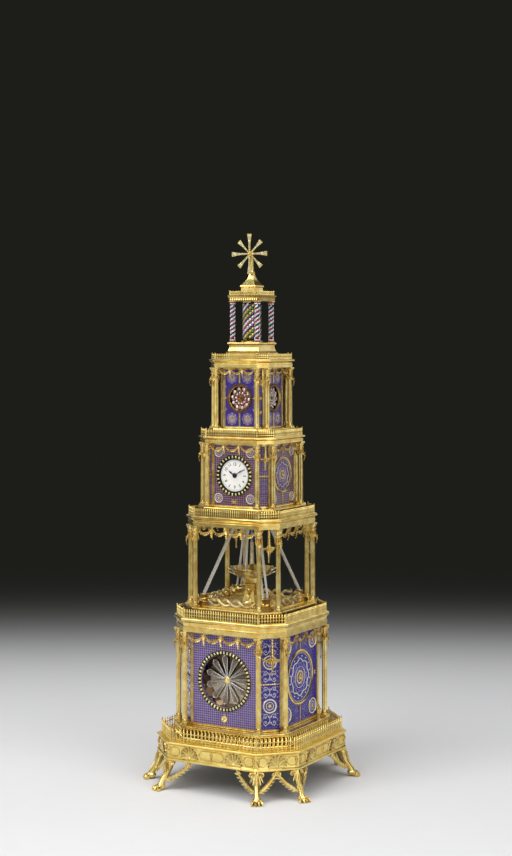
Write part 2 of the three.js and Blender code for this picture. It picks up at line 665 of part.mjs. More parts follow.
// The basin is a bowl of lobes: the radius swells and dips round the rim.
function basin() {
  const steps = 2 * BASIN_LOBES;
  const ring = (radius, z, lobe) =>
    Array.from({ length: steps }, (_, i) => {
      const swell = 1 + lobe * (i % 2 === 0 ? 1 : -1);
      const [x, y] = polar(radius * swell, (2 * Math.PI * i) / steps);
      return new THREE.Vector3(x, y, z + (i % 2 === 0 ? lobe * 20 : 0));
    });
  const top = basinFoot + BASIN_HEIGHT;
  const wide = BASIN_RADIUS * 0.88;
  const level = basinFloor + BASIN_HEIGHT * 0.15;
  const bottom = BASIN_ROD_FOOT + ROD_RADIUS;
  const outside = loft([
    ring(PEDESTAL_RADIUS, basinFoot, 0),
    ring(bottom + 4 * BASIN_WALL, basinFoot + BASIN_HEIGHT * 0.15, 0.02),
    ring(wide, level, 0.02),
    ring(BASIN_RADIUS, top, 0.05),
  ]);
  const inside = loft([
    ring(bottom, basinFloor, 0),
    ring(wide - BASIN_WALL, level + BASIN_WALL, 0.02),
    ring(BASIN_RADIUS - BASIN_WALL, top + 2, 0.05),
  ]);
  return cut(outside, inside, cylinder(SPINDLE_RADIUS + RUNNING, basinFoot - 1, basinFloor + 1, 12));
}
add("fountain_basin", basin(), gilt);
add("fountain_entablature", entablature(FOUNTAIN, CLOCK.face, CLOCK.half), gilt);
// A twisted glass rod from foot to head, square in section
function rod(foot, head) {
  const along = head.clone().sub(foot);
  const lean = Math.atan2(Math.hypot(along.x, along.y), along.z);
  const ends = ROD_RADIUS * Math.sin(lean) + SEAT;
  const trim = ends / Math.cos(lean);
  const length = along.length() - 2 * trim;
  const rings = Array.from({ length: ROD_STEPS + 1 }, (_, k) =>
    Array.from({ length: 4 }, (_, i) => {
      const [x, y] = polar(ROD_RADIUS, (i * Math.PI) / 2 + (2 * Math.PI * ROD_TURNS * k) / ROD_STEPS);
      return new THREE.Vector3(x, y, trim + (length * k) / ROD_STEPS);
    }),
  );
  const turn = new THREE.Quaternion().setFromUnitVectors(
    new THREE.Vector3(0, 0, 1), along.clone().normalize(),
  );
  return loft(rings).applyQuaternion(turn).translate(foot.x, foot.y, foot.z);
}
for (let corner = 0; corner < 4; corner++) {
  [-1, 1].forEach((side, i) => {
    const aside = (side * ROD_PAIR_GAP) / 2 / Math.SQRT2;
    const foot = new THREE.Vector3(CORNER_ROD_FOOT + aside, -CORNER_ROD_FOOT + aside, rodStandTop);
    const head = new THREE.Vector3(CORNER_ROD_HEAD + aside, -CORNER_ROD_HEAD + aside, ceiling);
    add("corner_rod_" + (2 * corner + i + 1), rod(foot, head), glass, corner * SQUARE_TURN);
  });
}
for (let i = 0; i < BASIN_RODS; i++) {
  const foot = new THREE.Vector3(BASIN_ROD_FOOT, 0, basinFloor);
  const head = new THREE.Vector3(BASIN_ROD_HEAD, 0, ceiling);
  add("basin_rod_" + (i + 1), rod(foot, head), glass, (2 * Math.PI * (i + 0.5)) / BASIN_RODS);
}

// Clock storey
const dialHeight = (CLOCK.floor + CLOCK.head) / 2;
add("clock_colonnade", colonnade(CLOCK), gilt);
const dialHole = frontHole(DIAL_RADIUS + 2 * RUNNING, CLOCK, 2 * SHEET, dialHeight);
add("clock_case", caseWalls(CLOCK, SHEET, [dialHole, doorway(CLOCK)]), enamel);
add("clock_door", door(CLOCK), enamel);
add("dial_bezel", bezel(DIAL_RADIUS, DIAL_BEZEL, CLOCK, dialHeight), gilt);
add("clock_entablature", entablature(CLOCK, UPPER.face, UPPER.half), gilt);

// Layers of the going train and motion work, as distances in front of the centre line
const dialFront = CLOCK.caseFace - RUNNING;
const dialBack = dialFront - DIAL_THICKNESS;
const hourLayer = dialBack - 0.8 - MOTION_WHEEL;
const cannonLayer = hourLayer - 0.8 - MOTION_WHEEL;
const frontPlate = cannonLayer - 0.8 - PLATE;
const backPlate = frontPlate - GOING_DEPTH - PLATE;
const motionReach = ((CANNON_TEETH + MINUTE_TEETH) * CANNON_MODULE) / 2;
const hourModule = (2 * motionReach) / (MINUTE_PINION_TEETH + HOUR_TEETH);
const barrelDrop = ((GOING_TEETH + CENTRE_TEETH) * GOING_MODULE) / 2;
function clockFrame() {
  const reach = GOING_REACH;
  const bottom = barrelDrop + GOING_BARREL_RADIUS + GOING_MARGIN;
  const plateAt = (y) => box(-reach, reach, -bottom, reach, y, y + PLATE);
  const pieces = [plateAt(frontPlate), plateAt(backPlate)];
  const inset = GOING_PILLAR_PLACE;
  for (const x of [-reach + inset, reach - inset]) {
    for (const y of [-bottom + inset, reach - inset]) {
      pieces.push(cylinder(PILLAR_RADIUS * 0.8, backPlate + 1, frontPlate + 1, 6).translate(x, y, 0));
    }
    // feet stand on the storey's floor
    const foot = -(dialHeight - CLOCK.floor) + SEAT;
    const [left, right] = [x - GOING_FOOT / 2, x + GOING_FOOT / 2];
    pieces.push(box(left, right, foot, -bottom + 1, backPlate, backPlate + PLATE));
    pieces.push(box(left, right, foot, -bottom + 1, frontPlate, frontPlate + PLATE));
    // dial feet carry the dial
    const dialFoot = DIAL_RADIUS - 4;
    pieces.push(
      cylinder(STUD_RADIUS, frontPlate + 1, dialBack - SEAT, 6).translate(
        Math.sign(x) * dialFoot * 0.8, dialFoot * 0.6, 0,
      ),
    );
  }
  pieces.push(
    cylinder(STUD_RADIUS, frontPlate + 1, hourLayer + MOTION_WHEEL, 10).translate(motionReach, 0, 0),
  );
  const bores = [0, -barrelDrop].map(
    (y) => cylinder(
      CENTRE_ARBOR_RADIUS + RUNNING, backPlate - 1, frontPlate + PLATE + 1, 10,
    ).translate(0, y, 0),
  );
  return facingFront(cut(join(...pieces), ...bores)).translate(0, 0, dialHeight);
}
add("clock_frame", clockFrame(), brass);
function dial() {
  const disc = cylinder(DIAL_RADIUS, dialBack, dialFront, 24);
  return facingFront(
    cut(disc, cylinder(HOUR_PIPE_RADIUS + RUNNING, dialBack - 1, dialFront + 1, 14)),
  ).translate(0, 0, dialHeight);
}
add("dial_plate", dial(), dialEnamel);
// A pierced hand that points along +Y
function handShape(length, width) {
  return outline(
    [
      [-width, -width], [width, -width], [width * 0.6, length * 0.45], [width * 1.3, length * 0.6],
      [width * 0.5, length * 0.75], [0, length], [-width * 0.5, length * 0.75],
      [-width * 1.3, length * 0.6], [-width * 0.6, length * 0.45],
    ],
  );
}
const hourHandFace = dialFront + 1.2;
const minuteHandFace = hourHandFace + HAND_THICKNESS + 0.6;
const HOUR_HAND_ANGLE = (-2 * Math.PI * 10.17) / 12; // ten past ten
const MINUTE_HAND_ANGLE = (-2 * Math.PI * 10) / 60;
function minuteHand() {
  const hand = extruded(
    handShape(MINUTE_HAND, 1.1), HAND_THICKNESS,
  ).rotateZ(MINUTE_HAND_ANGLE).translate(0, 0, minuteHandFace);
  const arbor = cylinder(CENTRE_ARBOR_RADIUS, backPlate + 0.2, minuteHandFace + HAND_THICKNESS + 0.8, 12);
  const cannon = toothed(CANNON_TEETH, CANNON_MODULE, MOTION_WHEEL).translate(0, 0, cannonLayer);
  const boss = cylinder(CENTRE_ARBOR_RADIUS + 1.2, minuteHandFace, minuteHandFace + HAND_THICKNESS, 12);
  const pinion = toothed(
    CENTRE_TEETH, GOING_MODULE, GOING_WHEEL + 1, 0.5,
  ).rotateZ(-SQUARE_TURN).translate(0, 0, backPlate + PLATE + 3.5);
  return facingFront(join(hand, arbor, cannon, boss, pinion)).translate(0, 0, dialHeight);
}
add("minute_hand", minuteHand(), blued);
function hourHand() {
  const hand = extruded(
    handShape(HOUR_HAND, 1.5), HAND_THICKNESS,
  ).rotateZ(HOUR_HAND_ANGLE).translate(0, 0, hourHandFace);
  const pipe = cylinder(HOUR_PIPE_RADIUS, hourLayer, hourHandFace + HAND_THICKNESS, 14);
  const wheel = toothed(HOUR_TEETH, hourModule, MOTION_WHEEL, 0.5).translate(0, 0, hourLayer);
  const bore = cylinder(
    CENTRE_ARBOR_RADIUS + RUNNING, hourLayer - 1, hourHandFace + HAND_THICKNESS + 1, 12,
  );
  return facingFront(cut(join(hand, pipe, wheel), bore)).translate(0, 0, dialHeight);
}
add("hour_hand", hourHand(), blued);
function minuteWheel() {
  const wheel = toothed(
    MINUTE_TEETH, CANNON_MODULE, MOTION_WHEEL, 0.5,
  ).rotateZ(Math.PI).translate(0, 0, cannonLayer);
  const pinion = toothed(
    MINUTE_PINION_TEETH, hourModule, hourLayer + MOTION_WHEEL - cannonLayer - 0.5,
  ).rotateZ(Math.PI).translate(0, 0, cannonLayer + 0.5);
  const bore = cylinder(STUD_RADIUS + RUNNING, cannonLayer - 1, hourLayer + MOTION_WHEEL + 1, 10);
  return facingFront(
    cut(join(wheel, pinion), bore).translate(motionReach, 0, 0),
  ).translate(0, 0, dialHeight);
}
add("minute_wheel", minuteWheel(), brass);
function goingBarrel() {
  const z = backPlate + PLATE + 4;
  const wheel = toothed(GOING_TEETH, GOING_MODULE, GOING_WHEEL).rotateZ(SQUARE_TURN).translate(0, 0, z);
  const drum = cylinder(GOING_BARREL_RADIUS, z + GOING_WHEEL - 0.2, frontPlate - 2, 16);
  const arbor = cylinder(CENTRE_ARBOR_RADIUS, backPlate + 0.2, frontPlate + PLATE - 0.2, 12);
  return facingFront(join(wheel, drum, arbor).translate(0, -barrelDrop, 0)).translate(0, 0, dialHeight);
}
add("going_barrel", goingBarrel(), brass);

// Upper storey: three faces hold a pair of pierced rosettes that turn against each other
const rosetteHeight = (UPPER.floor + UPPER.head) / 2;
const upperWall = ROSETTE_DEPTH + 3;
add("upper_colonnade", colonnade(UPPER), gilt);
function upperCase() {
  const cuts = [];
  for (const side of [0, 1, 3]) {
    cuts.push(
      frontHole(ROSETTE_RADIUS + 1, UPPER, ROSETTE_DEPTH, rosetteHeight, 20).rotateZ(side * SQUARE_TURN),
    );
    cuts.push(
      frontHole(
        2 * ROSETTE_ARBOR + 2 * RUNNING, UPPER, 2 * upperWall, rosetteHeight, 8,
      ).rotateZ(side * SQUARE_TURN),
    );
  }
  return caseWalls(UPPER, upperWall, cuts);
}
add("upper_case", upperCase(), enamel);
// A rosette of curved arms round a hub; hand is 1 or -1 for the way the arms sweep
function rosette(hand, z) {
  const arm = (angle) => {
    const edge = (shift) =>
      Array.from({ length: 3 }, (_, k) => {
        const t = k / 2;
        const radius = ROSETTE_HUB - 1 + (ROSETTE_RADIUS - ROSETTE_HUB + 1) * t;
        return polar(
          radius,
          angle + hand * ROSETTE_TWIST * t + (shift * ROSETTE_ARM) / 2 / Math.max(radius, ROSETTE_HUB),
        );
      });
    return extruded(outline([...edge(-1), ...edge(1).reverse()]), ROSETTE_THICKNESS).translate(0, 0, z);
  };
  const arms = Array.from({ length: ROSETTE_ARMS }, (_, i) => arm((2 * Math.PI * i) / ROSETTE_ARMS));
  return join(cylinder(ROSETTE_HUB, z, z + ROSETTE_THICKNESS, 10), ...arms);
}
const rearRosette = UPPER.caseFace - ROSETTE_DEPTH + 1;
const foreRosette = rearRosette + ROSETTE_THICKNESS + 1;
[["front", 0], ["right", 1], ["left", 3]].forEach(([side, quarter]) => {
  const inside = UPPER.caseFace - upperWall - 6;
  const arbor = join(rosette(1, foreRosette), cylinder(ROSETTE_ARBOR, inside - 4, foreRosette + 2.5, 10));
  add(
    "rosette_fore_" + side, facingFront(arbor).translate(0, 0, rosetteHeight), paste, quarter * SQUARE_TURN,
  );
  const sleeve = join(rosette(-1, rearRosette), cylinder(2 * ROSETTE_ARBOR, inside, rearRosette + 1, 12));
  const pipe = cut(sleeve, cylinder(ROSETTE_ARBOR + RUNNING, inside - 1, foreRosette, 10));
  add(
    "rosette_rear_" + side, facingFront(pipe).translate(0, 0, rosetteHeight), paste, quarter * SQUARE_TURN,
  );
});
add(
  "upper_entablature", entablature(UPPER, LANTERN_FACE - PODIUM_MARGIN, LANTERN_FACE - PODIUM_MARGIN), gilt,
);

// Lantern: plinth with four jewelled columns, and the drum that turns inside them
function lanternColonnade() {
  const z = lanternBase + SEAT;
  const step = lanternBase + LANTERN_STEP;
  const body = squareBlock(
    [
      [LANTERN_FACE + 1.5, z], [LANTERN_FACE + 1.5, step], [LANTERN_FACE, step],
      [LANTERN_FACE - 3, step + LANTERN_PLINTH * 0.35], [LANTERN_FACE - 4, lanternFloor - 4],
      [LANTERN_FACE - 1, lanternFloor - 2], [LANTERN_FACE - 1, lanternFloor],
    ],
  );
  const hollow = squareBlock([[LANTERN_FACE - 8, z - 1], [LANTERN_FACE - 8, lanternFloor - SHEET]]);
  const bore = cylinder(SPINDLE_RADIUS + RUNNING, z - 1, lanternFloor + DRUM_BASE + 1, 12);
  const base = turned(
    [
      [0, lanternFloor - 0.5], [DRUM_RADIUS + 4, lanternFloor - 0.5], [DRUM_RADIUS + 3, lanternFloor + 2],
      [DRUM_RADIUS + 1, lanternFloor + DRUM_BASE], [0, lanternFloor + DRUM_BASE],
    ],
    14,
  );
  const sunk = 0.5;
  const places = [[-1, -1], [1, -1], [1, 1], [-1, 1]].map(
    ([x, y]) => [x * LANTERN_COLUMN_PLACE, y * LANTERN_COLUMN_PLACE],
  );
  const columns = places.map(([x, y]) => {
    const r = LANTERN_COLUMN_RADIUS;
    const h = LANTERN_COLUMN_HEIGHT + sunk;
    return turned(
      [[0, 0], [r * 1.3, 0], [r * 1.3, 4], [r, 6], [r, h - 6], [r * 1.3, h - 4], [r * 1.3, h], [0, h]], 8,
    ).translate(x, y, lanternFloor - sunk);
  });
  return join(cut(join(cut(body, hollow), base), bore), ...columns);
}
add("lantern_colonnade", lanternColonnade(), gilt);
function jewelDrum() {
  const top = drumFoot + DRUM_HEIGHT;
  const shell = cylinder(DRUM_RADIUS, drumFoot, top, DRUM_FACETS);
  const hollow = cylinder(DRUM_RADIUS - DRUM_WALL, drumFoot + DRUM_WALL, top + 1, DRUM_FACETS);
  return cut(shell, hollow, cylinder(SPINDLE_RADIUS + SEAT, drumFoot - 1, drumFoot + DRUM_WALL + 1, 8));
}
add("jewel_drum", jewelDrum(), paste);
function lanternRoof() {
  const z = roofBase;
  const face = LANTERN_FACE - 4;
  const eaves = z + ROOF_CORNICE;
  const drumTop = eaves + ROOF_DRUM;
  const flare = Array.from({ length: 6 }, (_, k) => {
    const t = k / 5;
    return [
      ROOF_DRUM_FACE + 1.5 - (ROOF_DRUM_FACE + 1.5 - STEM_RADIUS) * Math.sin((t * Math.PI) / 2),
      drumTop + ROOF_SPIRE * t,
    ];
  });
  const body = squareBlock(
    [
      [face, z], [face, z + 5], [face + 3, z + 9], [face + 3, z + 11], [face + 1, z + 11.5],
      [face + 1, eaves], [ROOF_DRUM_FACE, eaves + 0.5], [ROOF_DRUM_FACE, drumTop - 2],
      [ROOF_DRUM_FACE + 1.5, drumTop - 1], ...flare,
    ],
  );
  const stem = turned(
    [
      [0, spireTop - 1], [STEM_RADIUS, spireTop - 1], [COLLAR_RADIUS, spireTop + 2],
      [STEM_RADIUS, spireTop + 5], [STEM_TOP_RADIUS, finialHeight + 4], [0, finialHeight + 4],
    ],
    10,
  );
  const hollow = squareBlock([[face - SHEET, z - 1], [face - SHEET, z + ROOF_CORNICE - SHEET]]);
  const bore = facingFront(
    cylinder(FINIAL_ARBOR_RADIUS + RUNNING, -STEM_RADIUS - 1, STEM_RADIUS + 1, 10),
  ).translate(0, 0, finialHeight);
  return cut(join(cut(body, hollow), stem), bore);
}
add("lantern_roof", lanternRoof(), gilt);
// A finial wheel of flared arms, with a tooth of stones along each
function finialWheel(arm, phase, z) {
  const arms = Array.from({ length: FINIAL_ARMS }, (_, i) => {
    const [root, tip] = [FINIAL_ARM_ROOT / 2, FINIAL_ARM_TIP / 2];
    const shape = outline(
      [
        [0, -root], [arm * 0.55, -root * 1.15], [arm, -tip], [arm, tip], [arm * 0.55, root * 1.15],
        [0, root],
      ],
    );
    return extruded(shape, FINIAL_THICKNESS).rotateZ(
      ((i + phase) * 2 * Math.PI) / FINIAL_ARMS,
    ).translate(0, 0, z);
  });
  return join(cylinder(4.2, z, z + FINIAL_THICKNESS, 12), ...arms);
}
const rearWheel = COLLAR_RADIUS + SEAT;
const foreWheel = rearWheel + FINIAL_THICKNESS + 0.6;
const foreArbor = cylinder(FINIAL_ARBOR_RADIUS, -STEM_RADIUS - 2, foreWheel + FINIAL_THICKNESS + 1.5, 10);
add(
  "finial_wheel_fore",
  facingFront(join(finialWheel(FINIAL_ARM, 0, foreWheel), foreArbor)).translate(0, 0, finialHeight), paste,
);
const rearBore = cylinder(FINIAL_ARBOR_RADIUS + RUNNING, rearWheel - 1, foreWheel, 10);
add(
  "finial_wheel_rear",
  facingFront(cut(finialWheel(FINIAL_ARM_REAR, 0.5, rearWheel), rearBore)).translate(0, 0, finialHeight),
  paste,
);

export default tower;
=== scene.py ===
import math

import bmesh
import bpy
from mathutils import Matrix, Vector


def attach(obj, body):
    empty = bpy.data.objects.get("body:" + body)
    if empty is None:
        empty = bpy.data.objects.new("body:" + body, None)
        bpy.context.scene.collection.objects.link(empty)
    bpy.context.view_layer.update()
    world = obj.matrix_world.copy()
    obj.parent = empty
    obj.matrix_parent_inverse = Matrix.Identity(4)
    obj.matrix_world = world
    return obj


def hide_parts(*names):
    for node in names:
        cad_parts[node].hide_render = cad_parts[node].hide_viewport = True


bl_info = {
    "name": "Gilt automaton tower clock",
    "version": (1, 0, 0),
    "blender": (4, 5, 0),
    "location": "3D View > Sidebar > Tower clock",
    "description": "Dresses the packed tower clock in gilding, enamel, paste stones and glass",
    "category": "Object",
}

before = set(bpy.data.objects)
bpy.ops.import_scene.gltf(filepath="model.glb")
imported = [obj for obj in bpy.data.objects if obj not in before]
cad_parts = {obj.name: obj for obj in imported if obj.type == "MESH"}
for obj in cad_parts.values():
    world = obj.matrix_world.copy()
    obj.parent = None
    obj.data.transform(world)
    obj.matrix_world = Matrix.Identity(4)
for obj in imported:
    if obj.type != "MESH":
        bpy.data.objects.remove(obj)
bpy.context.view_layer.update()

MM = 0.001
QUARTER = math.pi / 2
GAP = 0.3  # millimetres between pieces that are seated on each other
MITRE = math.sqrt(2) - 1  # how far a broad side's end moves along it when all sides move out by 1


class Storey:
    """Levels and plan of a storey in millimetres. Face is from the centre line to a broad side at the column
    axes, half is half that side's length, and wall and wall_half are the same for the case inside. Radius is
    a column's, rail is the height of the gallery on top, and swags hang on each broad side."""

    def __init__(self, base, floor, head, cornice, face, half, radius, rail,
                 wall=0.0, wall_half=0.0, swags=4):
        self.base, self.floor, self.head, self.cornice = base, floor, head, cornice
        self.face, self.half, self.radius, self.rail = face, half, radius, rail
        self.wall, self.wall_half, self.swags = wall, wall_half, swags
        self.middle = (floor + head) / 2


LOWER = Storey(base=92.3, floor=119.0, head=302.5, cornice=329.3, face=120.6, half=82.8,
               radius=5.2, rail=19.0, wall=108.0, wall_half=74.6)
FOUNTAIN = Storey(base=329.6, floor=348.3, head=507.3, cornice=526.6, face=99.4, half=72.0,
                  radius=4.8, rail=17.5)
CLOCK = Storey(base=526.9, floor=544.1, head=670.6, cornice=682.9, face=79.8, half=56.8,
               radius=4.5, rail=15.5, wall=69.0, wall_half=50.0, swags=3)
UPPER = Storey(base=683.2, floor=698.4, head=818.9, cornice=835.2, face=61.2, half=46.6,
               radius=4.3, rail=12.0, wall=48.7, wall_half=37.0, swags=3)
STOREYS = {"lower": LOWER, "fountain": FOUNTAIN, "clock": CLOCK, "upper": UPPER}
LANTERN_FLOOR = 868.2
ROOF_BASE = 951.5
FINIAL_HEIGHT = 1045.5
CAPITAL = 3.6  # height of a capital in column radii
PLINTH_FACE, PLINTH_HALF, PLINTH_MIDDLE = 158, 98, 74.6
DOORS = {"lower": (198.75, 65, 69), "clock": (595.35, 40.4, 41)}  # middle, half width and half height
ROD_FOOT, ROD_TOP = 70, 507.6  # a corner pair's foot from either middle line, and the upper end of all rods
ROD_APART, ROD_RADIUS = 4.5, 2.4  # half the distance between the rods of a pair
ALL_SIDES = 2.0  # more than any normal's y
CAMERA_AZIMUTH = math.radians(29.6)
CAMERA_AWAY, CAMERA_HEIGHT = 3.3, 0.868  # metres
CAMERA_LENS, CAMERA_SHIFT = 69.4, (0.0047, -0.0995)
LAMP_AIM = Vector((0, 0, 0.55))
FLOOR_RADIUS = 4.2
# Painted pool of light on the floor: metres behind the clock where the floor is half gone, how softly, and
# between which it fades all round
FADE_BEHIND, FADE_SOFTNESS = 1.42, 0.54
FADE_FROM, FADE_TO = 1.5, 4.1


def linear(code):
    """An sRGB hex colour as linear values with alpha."""
    parts = [int(code[i:i + 2], 16) / 255 for i in (1, 3, 5)]
    return tuple(c / 12.92 if c <= 0.04045 else ((c + 0.055) / 1.055) ** 2.4 for c in parts) + (1.0,)


def colour(name, description, code):
    return bpy.props.FloatVectorProperty(
        name=name, description=description, default=linear(code), min=0, max=1, size=4, subtype="COLOR")


def length(name, description, millimetres):
    return bpy.props.FloatProperty(
        name=name, description=description, default=millimetres * MM, min=0.0002, unit="LENGTH", precision=4)


def number(name, description, usual, least):
    return bpy.props.IntProperty(name=name, description=description, default=usual, min=least)


class ClockSizes(bpy.types.PropertyGroup):
    """Sizes of the ornament that a maker would change."""

    picket_pitch: length("Picket spacing", "Distance between the bars of the galleries", 4.0)
    fence_pitch: length("Fence spacing", "Distance between the spikes of the plinth's fence", 8.2)
    baluster_pitch: length("Baluster spacing", "Distance between the balusters on a podium's edge", 8.2)
    leaf: length("Leaf", "Length of a leaf in the garlands", 7.0)
    stone: length("Drum stone", "Side of a square stone on the drum", 5.8)
    column_stone: length("Column stone", "Height of a stone on the lantern's columns", 4.2)
    twist: length("Twist", "Length of one full twist of a glass rod", 26.0)
    numeral: length("Numeral", "Height of an hour numeral", 6.0)
    star_stones: number("Star bezel stones", "Stones round the window of the glass star", 48, 12)
    dial_stones: number("Dial bezel stones", "Stones round the dial", 30, 12)
    flutes: number("Flutes", "Flutes round a column's shaft", 12, 6)


class ClockColours(bpy.types.PropertyGroup):
    """Colours of the finishes."""

    gilding: colour("Gilding", "Burnished gilding", "#F6E294")
    gilding_shade: colour("Gilding shade", "Gilding where it is less rubbed", "#DAB866")
    # The hollow colour stands for old lacquer in the hollows and also for painted shade in the creases
    gilding_hollow: colour("Gilding hollow", "Old lacquer left in the hollows", "#7C6126")
    # Painted shade: the dark gilding set where podiums and galleries fall into shadow
    recess: colour("Recess", "Dulled gilding behind the balusters", "#7A5F2C")
    brass: colour("Brass", "Lacquered brass of the trains", "#B8923F")
    steel: colour("Steel", "Polished steel arbors", "#8A9099")
    blued: colour("Blued steel", "Blued steel of the hands", "#333A54")
    lilac: colour("Lilac", "Lilac ground of the front panels", "#7766AA")
    blue: colour("Blue", "Blue enamel of the other panels", "#251A90")
    deep_blue: colour("Deep blue", "Darkest enamel, in the medallions", "#1B1678")
    lavender: colour("Lavender", "Pale enamel of the arabesques", "#A398D2")
    white: colour("White", "White enamel", "#F0EEE8")
    cream: colour("Cream", "Cream enamel in the roundels", "#E6D3A4")
    dial: colour("Dial", "Ground of the dial", "#F6F4EE")
    setting: colour("Setting", "Blackened metal round the stones", "#2A2519")
    bronze: colour("Bronze", "Bronze of the rod stands", "#8A6B38")
    floor: colour("Floor", "Floor under the clock", "#ECECED")
    backdrop: colour("Backdrop", "The dark behind the clock", "#1D1E1A")


# Metals: the real finish, its colours where it is bright, shaded and hollow, its least and greatest
# roughness, and its patches of tone, its grain and the grain's depth in millimetres. The grain of a rubbed
# surface is finer than this, and is drawn coarse enough to break the gloss in the render.
METALS = {
    # Mercury gilding rubbed with a stone: a warm soft mirror, paler where it was rubbed most
    "gilding": ("burnished_fire_gilding", "gilding", "gilding_shade", "gilding_hollow",
                0.16, 0.28, 18, 1.1, 0.05),
    # The same gilding left matt, painted paler as painted light for the strongly lit plinth: an even creamy
    # yellow with no clear reflections
    "matt_gilding_painted_bright": ("matted_fire_gilding_painted_bright", "#FFEA96", "#F0D274", "gilding_hollow", 0.3, 0.42, 12, 0.9, 0.12),
    # Cast leafwork, chased and gilt, its gold partly the duller chased surface and partly darkened as painted
    # shade for the leaves under the cornices: a darker gold with brown in its many hollows
    "chased_and_shaded": ("chased_fire_gilding_with_painted_shade", "#E3C878", "#BC9A4E", "#5C461A", 0.18, 0.32, 9, 0.9, 0.06),
    # Silver gilt worn thin: pale gold that turns grey in patches
    "silver_gilt": ("worn_silver_gilt", "#E6DAB0", "#BDAB7C", "#665430", 0.2, 0.34, 7, 0.9, 0.06),
    # Silver gilt with a satin skin: cream highlights that spread wide
    "pale_gilt": ("pale_satin_silver_gilt", "#F2E2AE", "#D8C48A", "#82693C", 0.3, 0.44, 7, 0.9, 0.06),
    # Gold alloyed with silver: greener and duller than the gilding beside it
    "green_gold": ("green_gold", "#E2CA7C", "#C8AE5E", "#6A5424", 0.3, 0.44, 9, 0.9, 0.08),
    # Gilding darkened as painted shade, for the gaps behind balusters and galleries and the tips of the
    # shells' ribs: brown, with hardly any gloss
    "recess": ("gilding_darkened_as_painted_shade", "recess", "#5E4820", "#2E2210", 0.42, 0.58, 9, 0.9, 0.1),
    # Cast brass under lacquer: deep yellow with a broad sheen
    "brass": ("lacquered_train_brass", "brass", "#A07C33", "#5F4619", 0.28, 0.42, 14, 0.8, 0.03),
    # Turned and polished steel: cool grey with tight streaks of light
    "steel": ("polished_arbor_steel", "steel", "#6F757E", "#3B3F46", 0.2, 0.32, 14, 0.7, 0.02),
    # Steel tempered blue: almost black until a lamp shows in it
    "blued": ("heat_blued_steel", "blued", "#454C66", "#161A29", 0.22, 0.3, 8, 0.6, 0.02),
    # Metal blackened round the stones: a dark olive that makes them stand out
    "setting": ("blackened_setting_metal", "setting", "#2F301F", "#0E100B", 0.34, 0.5, 6, 0.8, 0.05),
    # Bronze under a brown patina: warm and dull, black in its hollows
    "bronze": ("patinated_bronze", "bronze", "#6B5129", "#2A1E0B", 0.32, 0.46, 10, 1.0, 0.1),
}
# Enamels and a dark waxed board of painted shade: the real finish, its two colours and its pools of colour in
# millimetres
ENAMELS = {
    # Cobalt glass fused to metal: deep, wet-looking blue
    "deep_blue": ("deep_blue_enamel", "deep_blue", "blue", 7),
    # Manganese glass: violet that goes nearly black where it lies thick
    "violet_enamel": ("violet_enamel", "#3A2266", "#4E2A64", 6),
    # Milky violet glass: soft drawing that sinks into the ground
    "lilac_enamel": ("lilac_enamel", "#7463AE", "#5E4C98", 5),
    # Milky blue-violet glass: pale drawing that stands out from the ground
    "lavender_enamel": ("lavender_enamel", "lavender", "#8A7DC0", 5),
    # Tin-white glass: the brightest drawing, glossy and a little cold
    "white_enamel": ("white_enamel", "white", "#D8D6CF", 5),
    # Tin-white glass warmed with yellow: ivory beside the white
    "cream_enamel": ("cream_enamel", "cream", "#CDB47C", 4),
    # Dial white, ground flat and fired again: an even porcelain skin
    "dial": ("dial_enamel", "dial", "#ECEAE2", 16),
    # Black glass painted on the dial: crisp and glossy
    "black": ("fired_black_numerals", "#1E1E26", "#2E2E38", 3),
    # Painted shade: a dark waxed board closing the plinth's hollow, to darken the shadow under the plinth: a
    # brown shadow with a faint polish
    "dark_board_painted_shade": ("dark_waxed_board_as_painted_shade", "#241A12", "#17110C", 25),
}
# Silvered glass: the real finish, how far it is silvered, its colours, the heights in millimetres between
# which the second takes over, and its ripple in millimetres and in strength
MIRRORS = {
    # Brown mirror, darker towards the top: a dim warm ground that the rosettes stand out from
    "rosette_mirror": ("browned_mirror", 1.0, "#6E5C4A", "#3B2C20", 735, 782, 22, 0.12),
    # Old mirror with a painted reflection, grey below for the pale floor and dark brown above for the dark
    # room: wavering pictures of the petals
    "star_mirror": ("old_silvered_mirror", 1.0, "#A3937E", "#4A3B2E", 196, 228, 30, 0.1),
    # Rippled glass over foil, for water: broken sparkles of warm light
    "water": ("rippled_foiled_glass", 0.3, "#D2C2A2", "#D8C8A8", 340, 360, 6, 0.6),
}
# Paste stones and their foils. Cut lead glass over foil flashes in the foil's colour, a few facets at a time;
# the flashes are painted glints.
PASTES = {
    "paste_white": "#F1F2F4",
    "paste_pale": "#E4DFAE",
    "paste_smoky": "#BDB794",
    "paste_lemon": "#DDBB58",
    "paste_green": "#1F6A3C",
    "paste_rose": "#D59A98",
    "paste_garnet": "#A43E42",
    "paste_navy": "#2A2A62",
    "paste_orange": "#D9663F",
    "paste_umber": "#7A4E48",
}
FINISH = {}


def plug(tree, node, wires):
    """Sets a node's constant sockets and links the others."""
    for socket, value in wires.items():
        if isinstance(value, bpy.types.NodeSocket):
            tree.links.new(value, node.inputs[socket])
        else:
            node.inputs[socket].default_value = value
    return node


def put(tree, kind, wires=None, **settings):
    """Adds a node with its settings, constant sockets and links."""
    made = tree.nodes.new("ShaderNode" + kind)
    for key, value in settings.items():
        setattr(made, key, value)
    return plug(tree, made, wires or {})


def surface(name, sockets):
    """A material with one shader, whose constant sockets are set here."""
    made = bpy.data.materials.new(name)
    made.use_nodes = True
    shader = plug(made.node_tree, made.node_tree.nodes["Principled BSDF"], sockets)
    return made, made.node_tree, shader


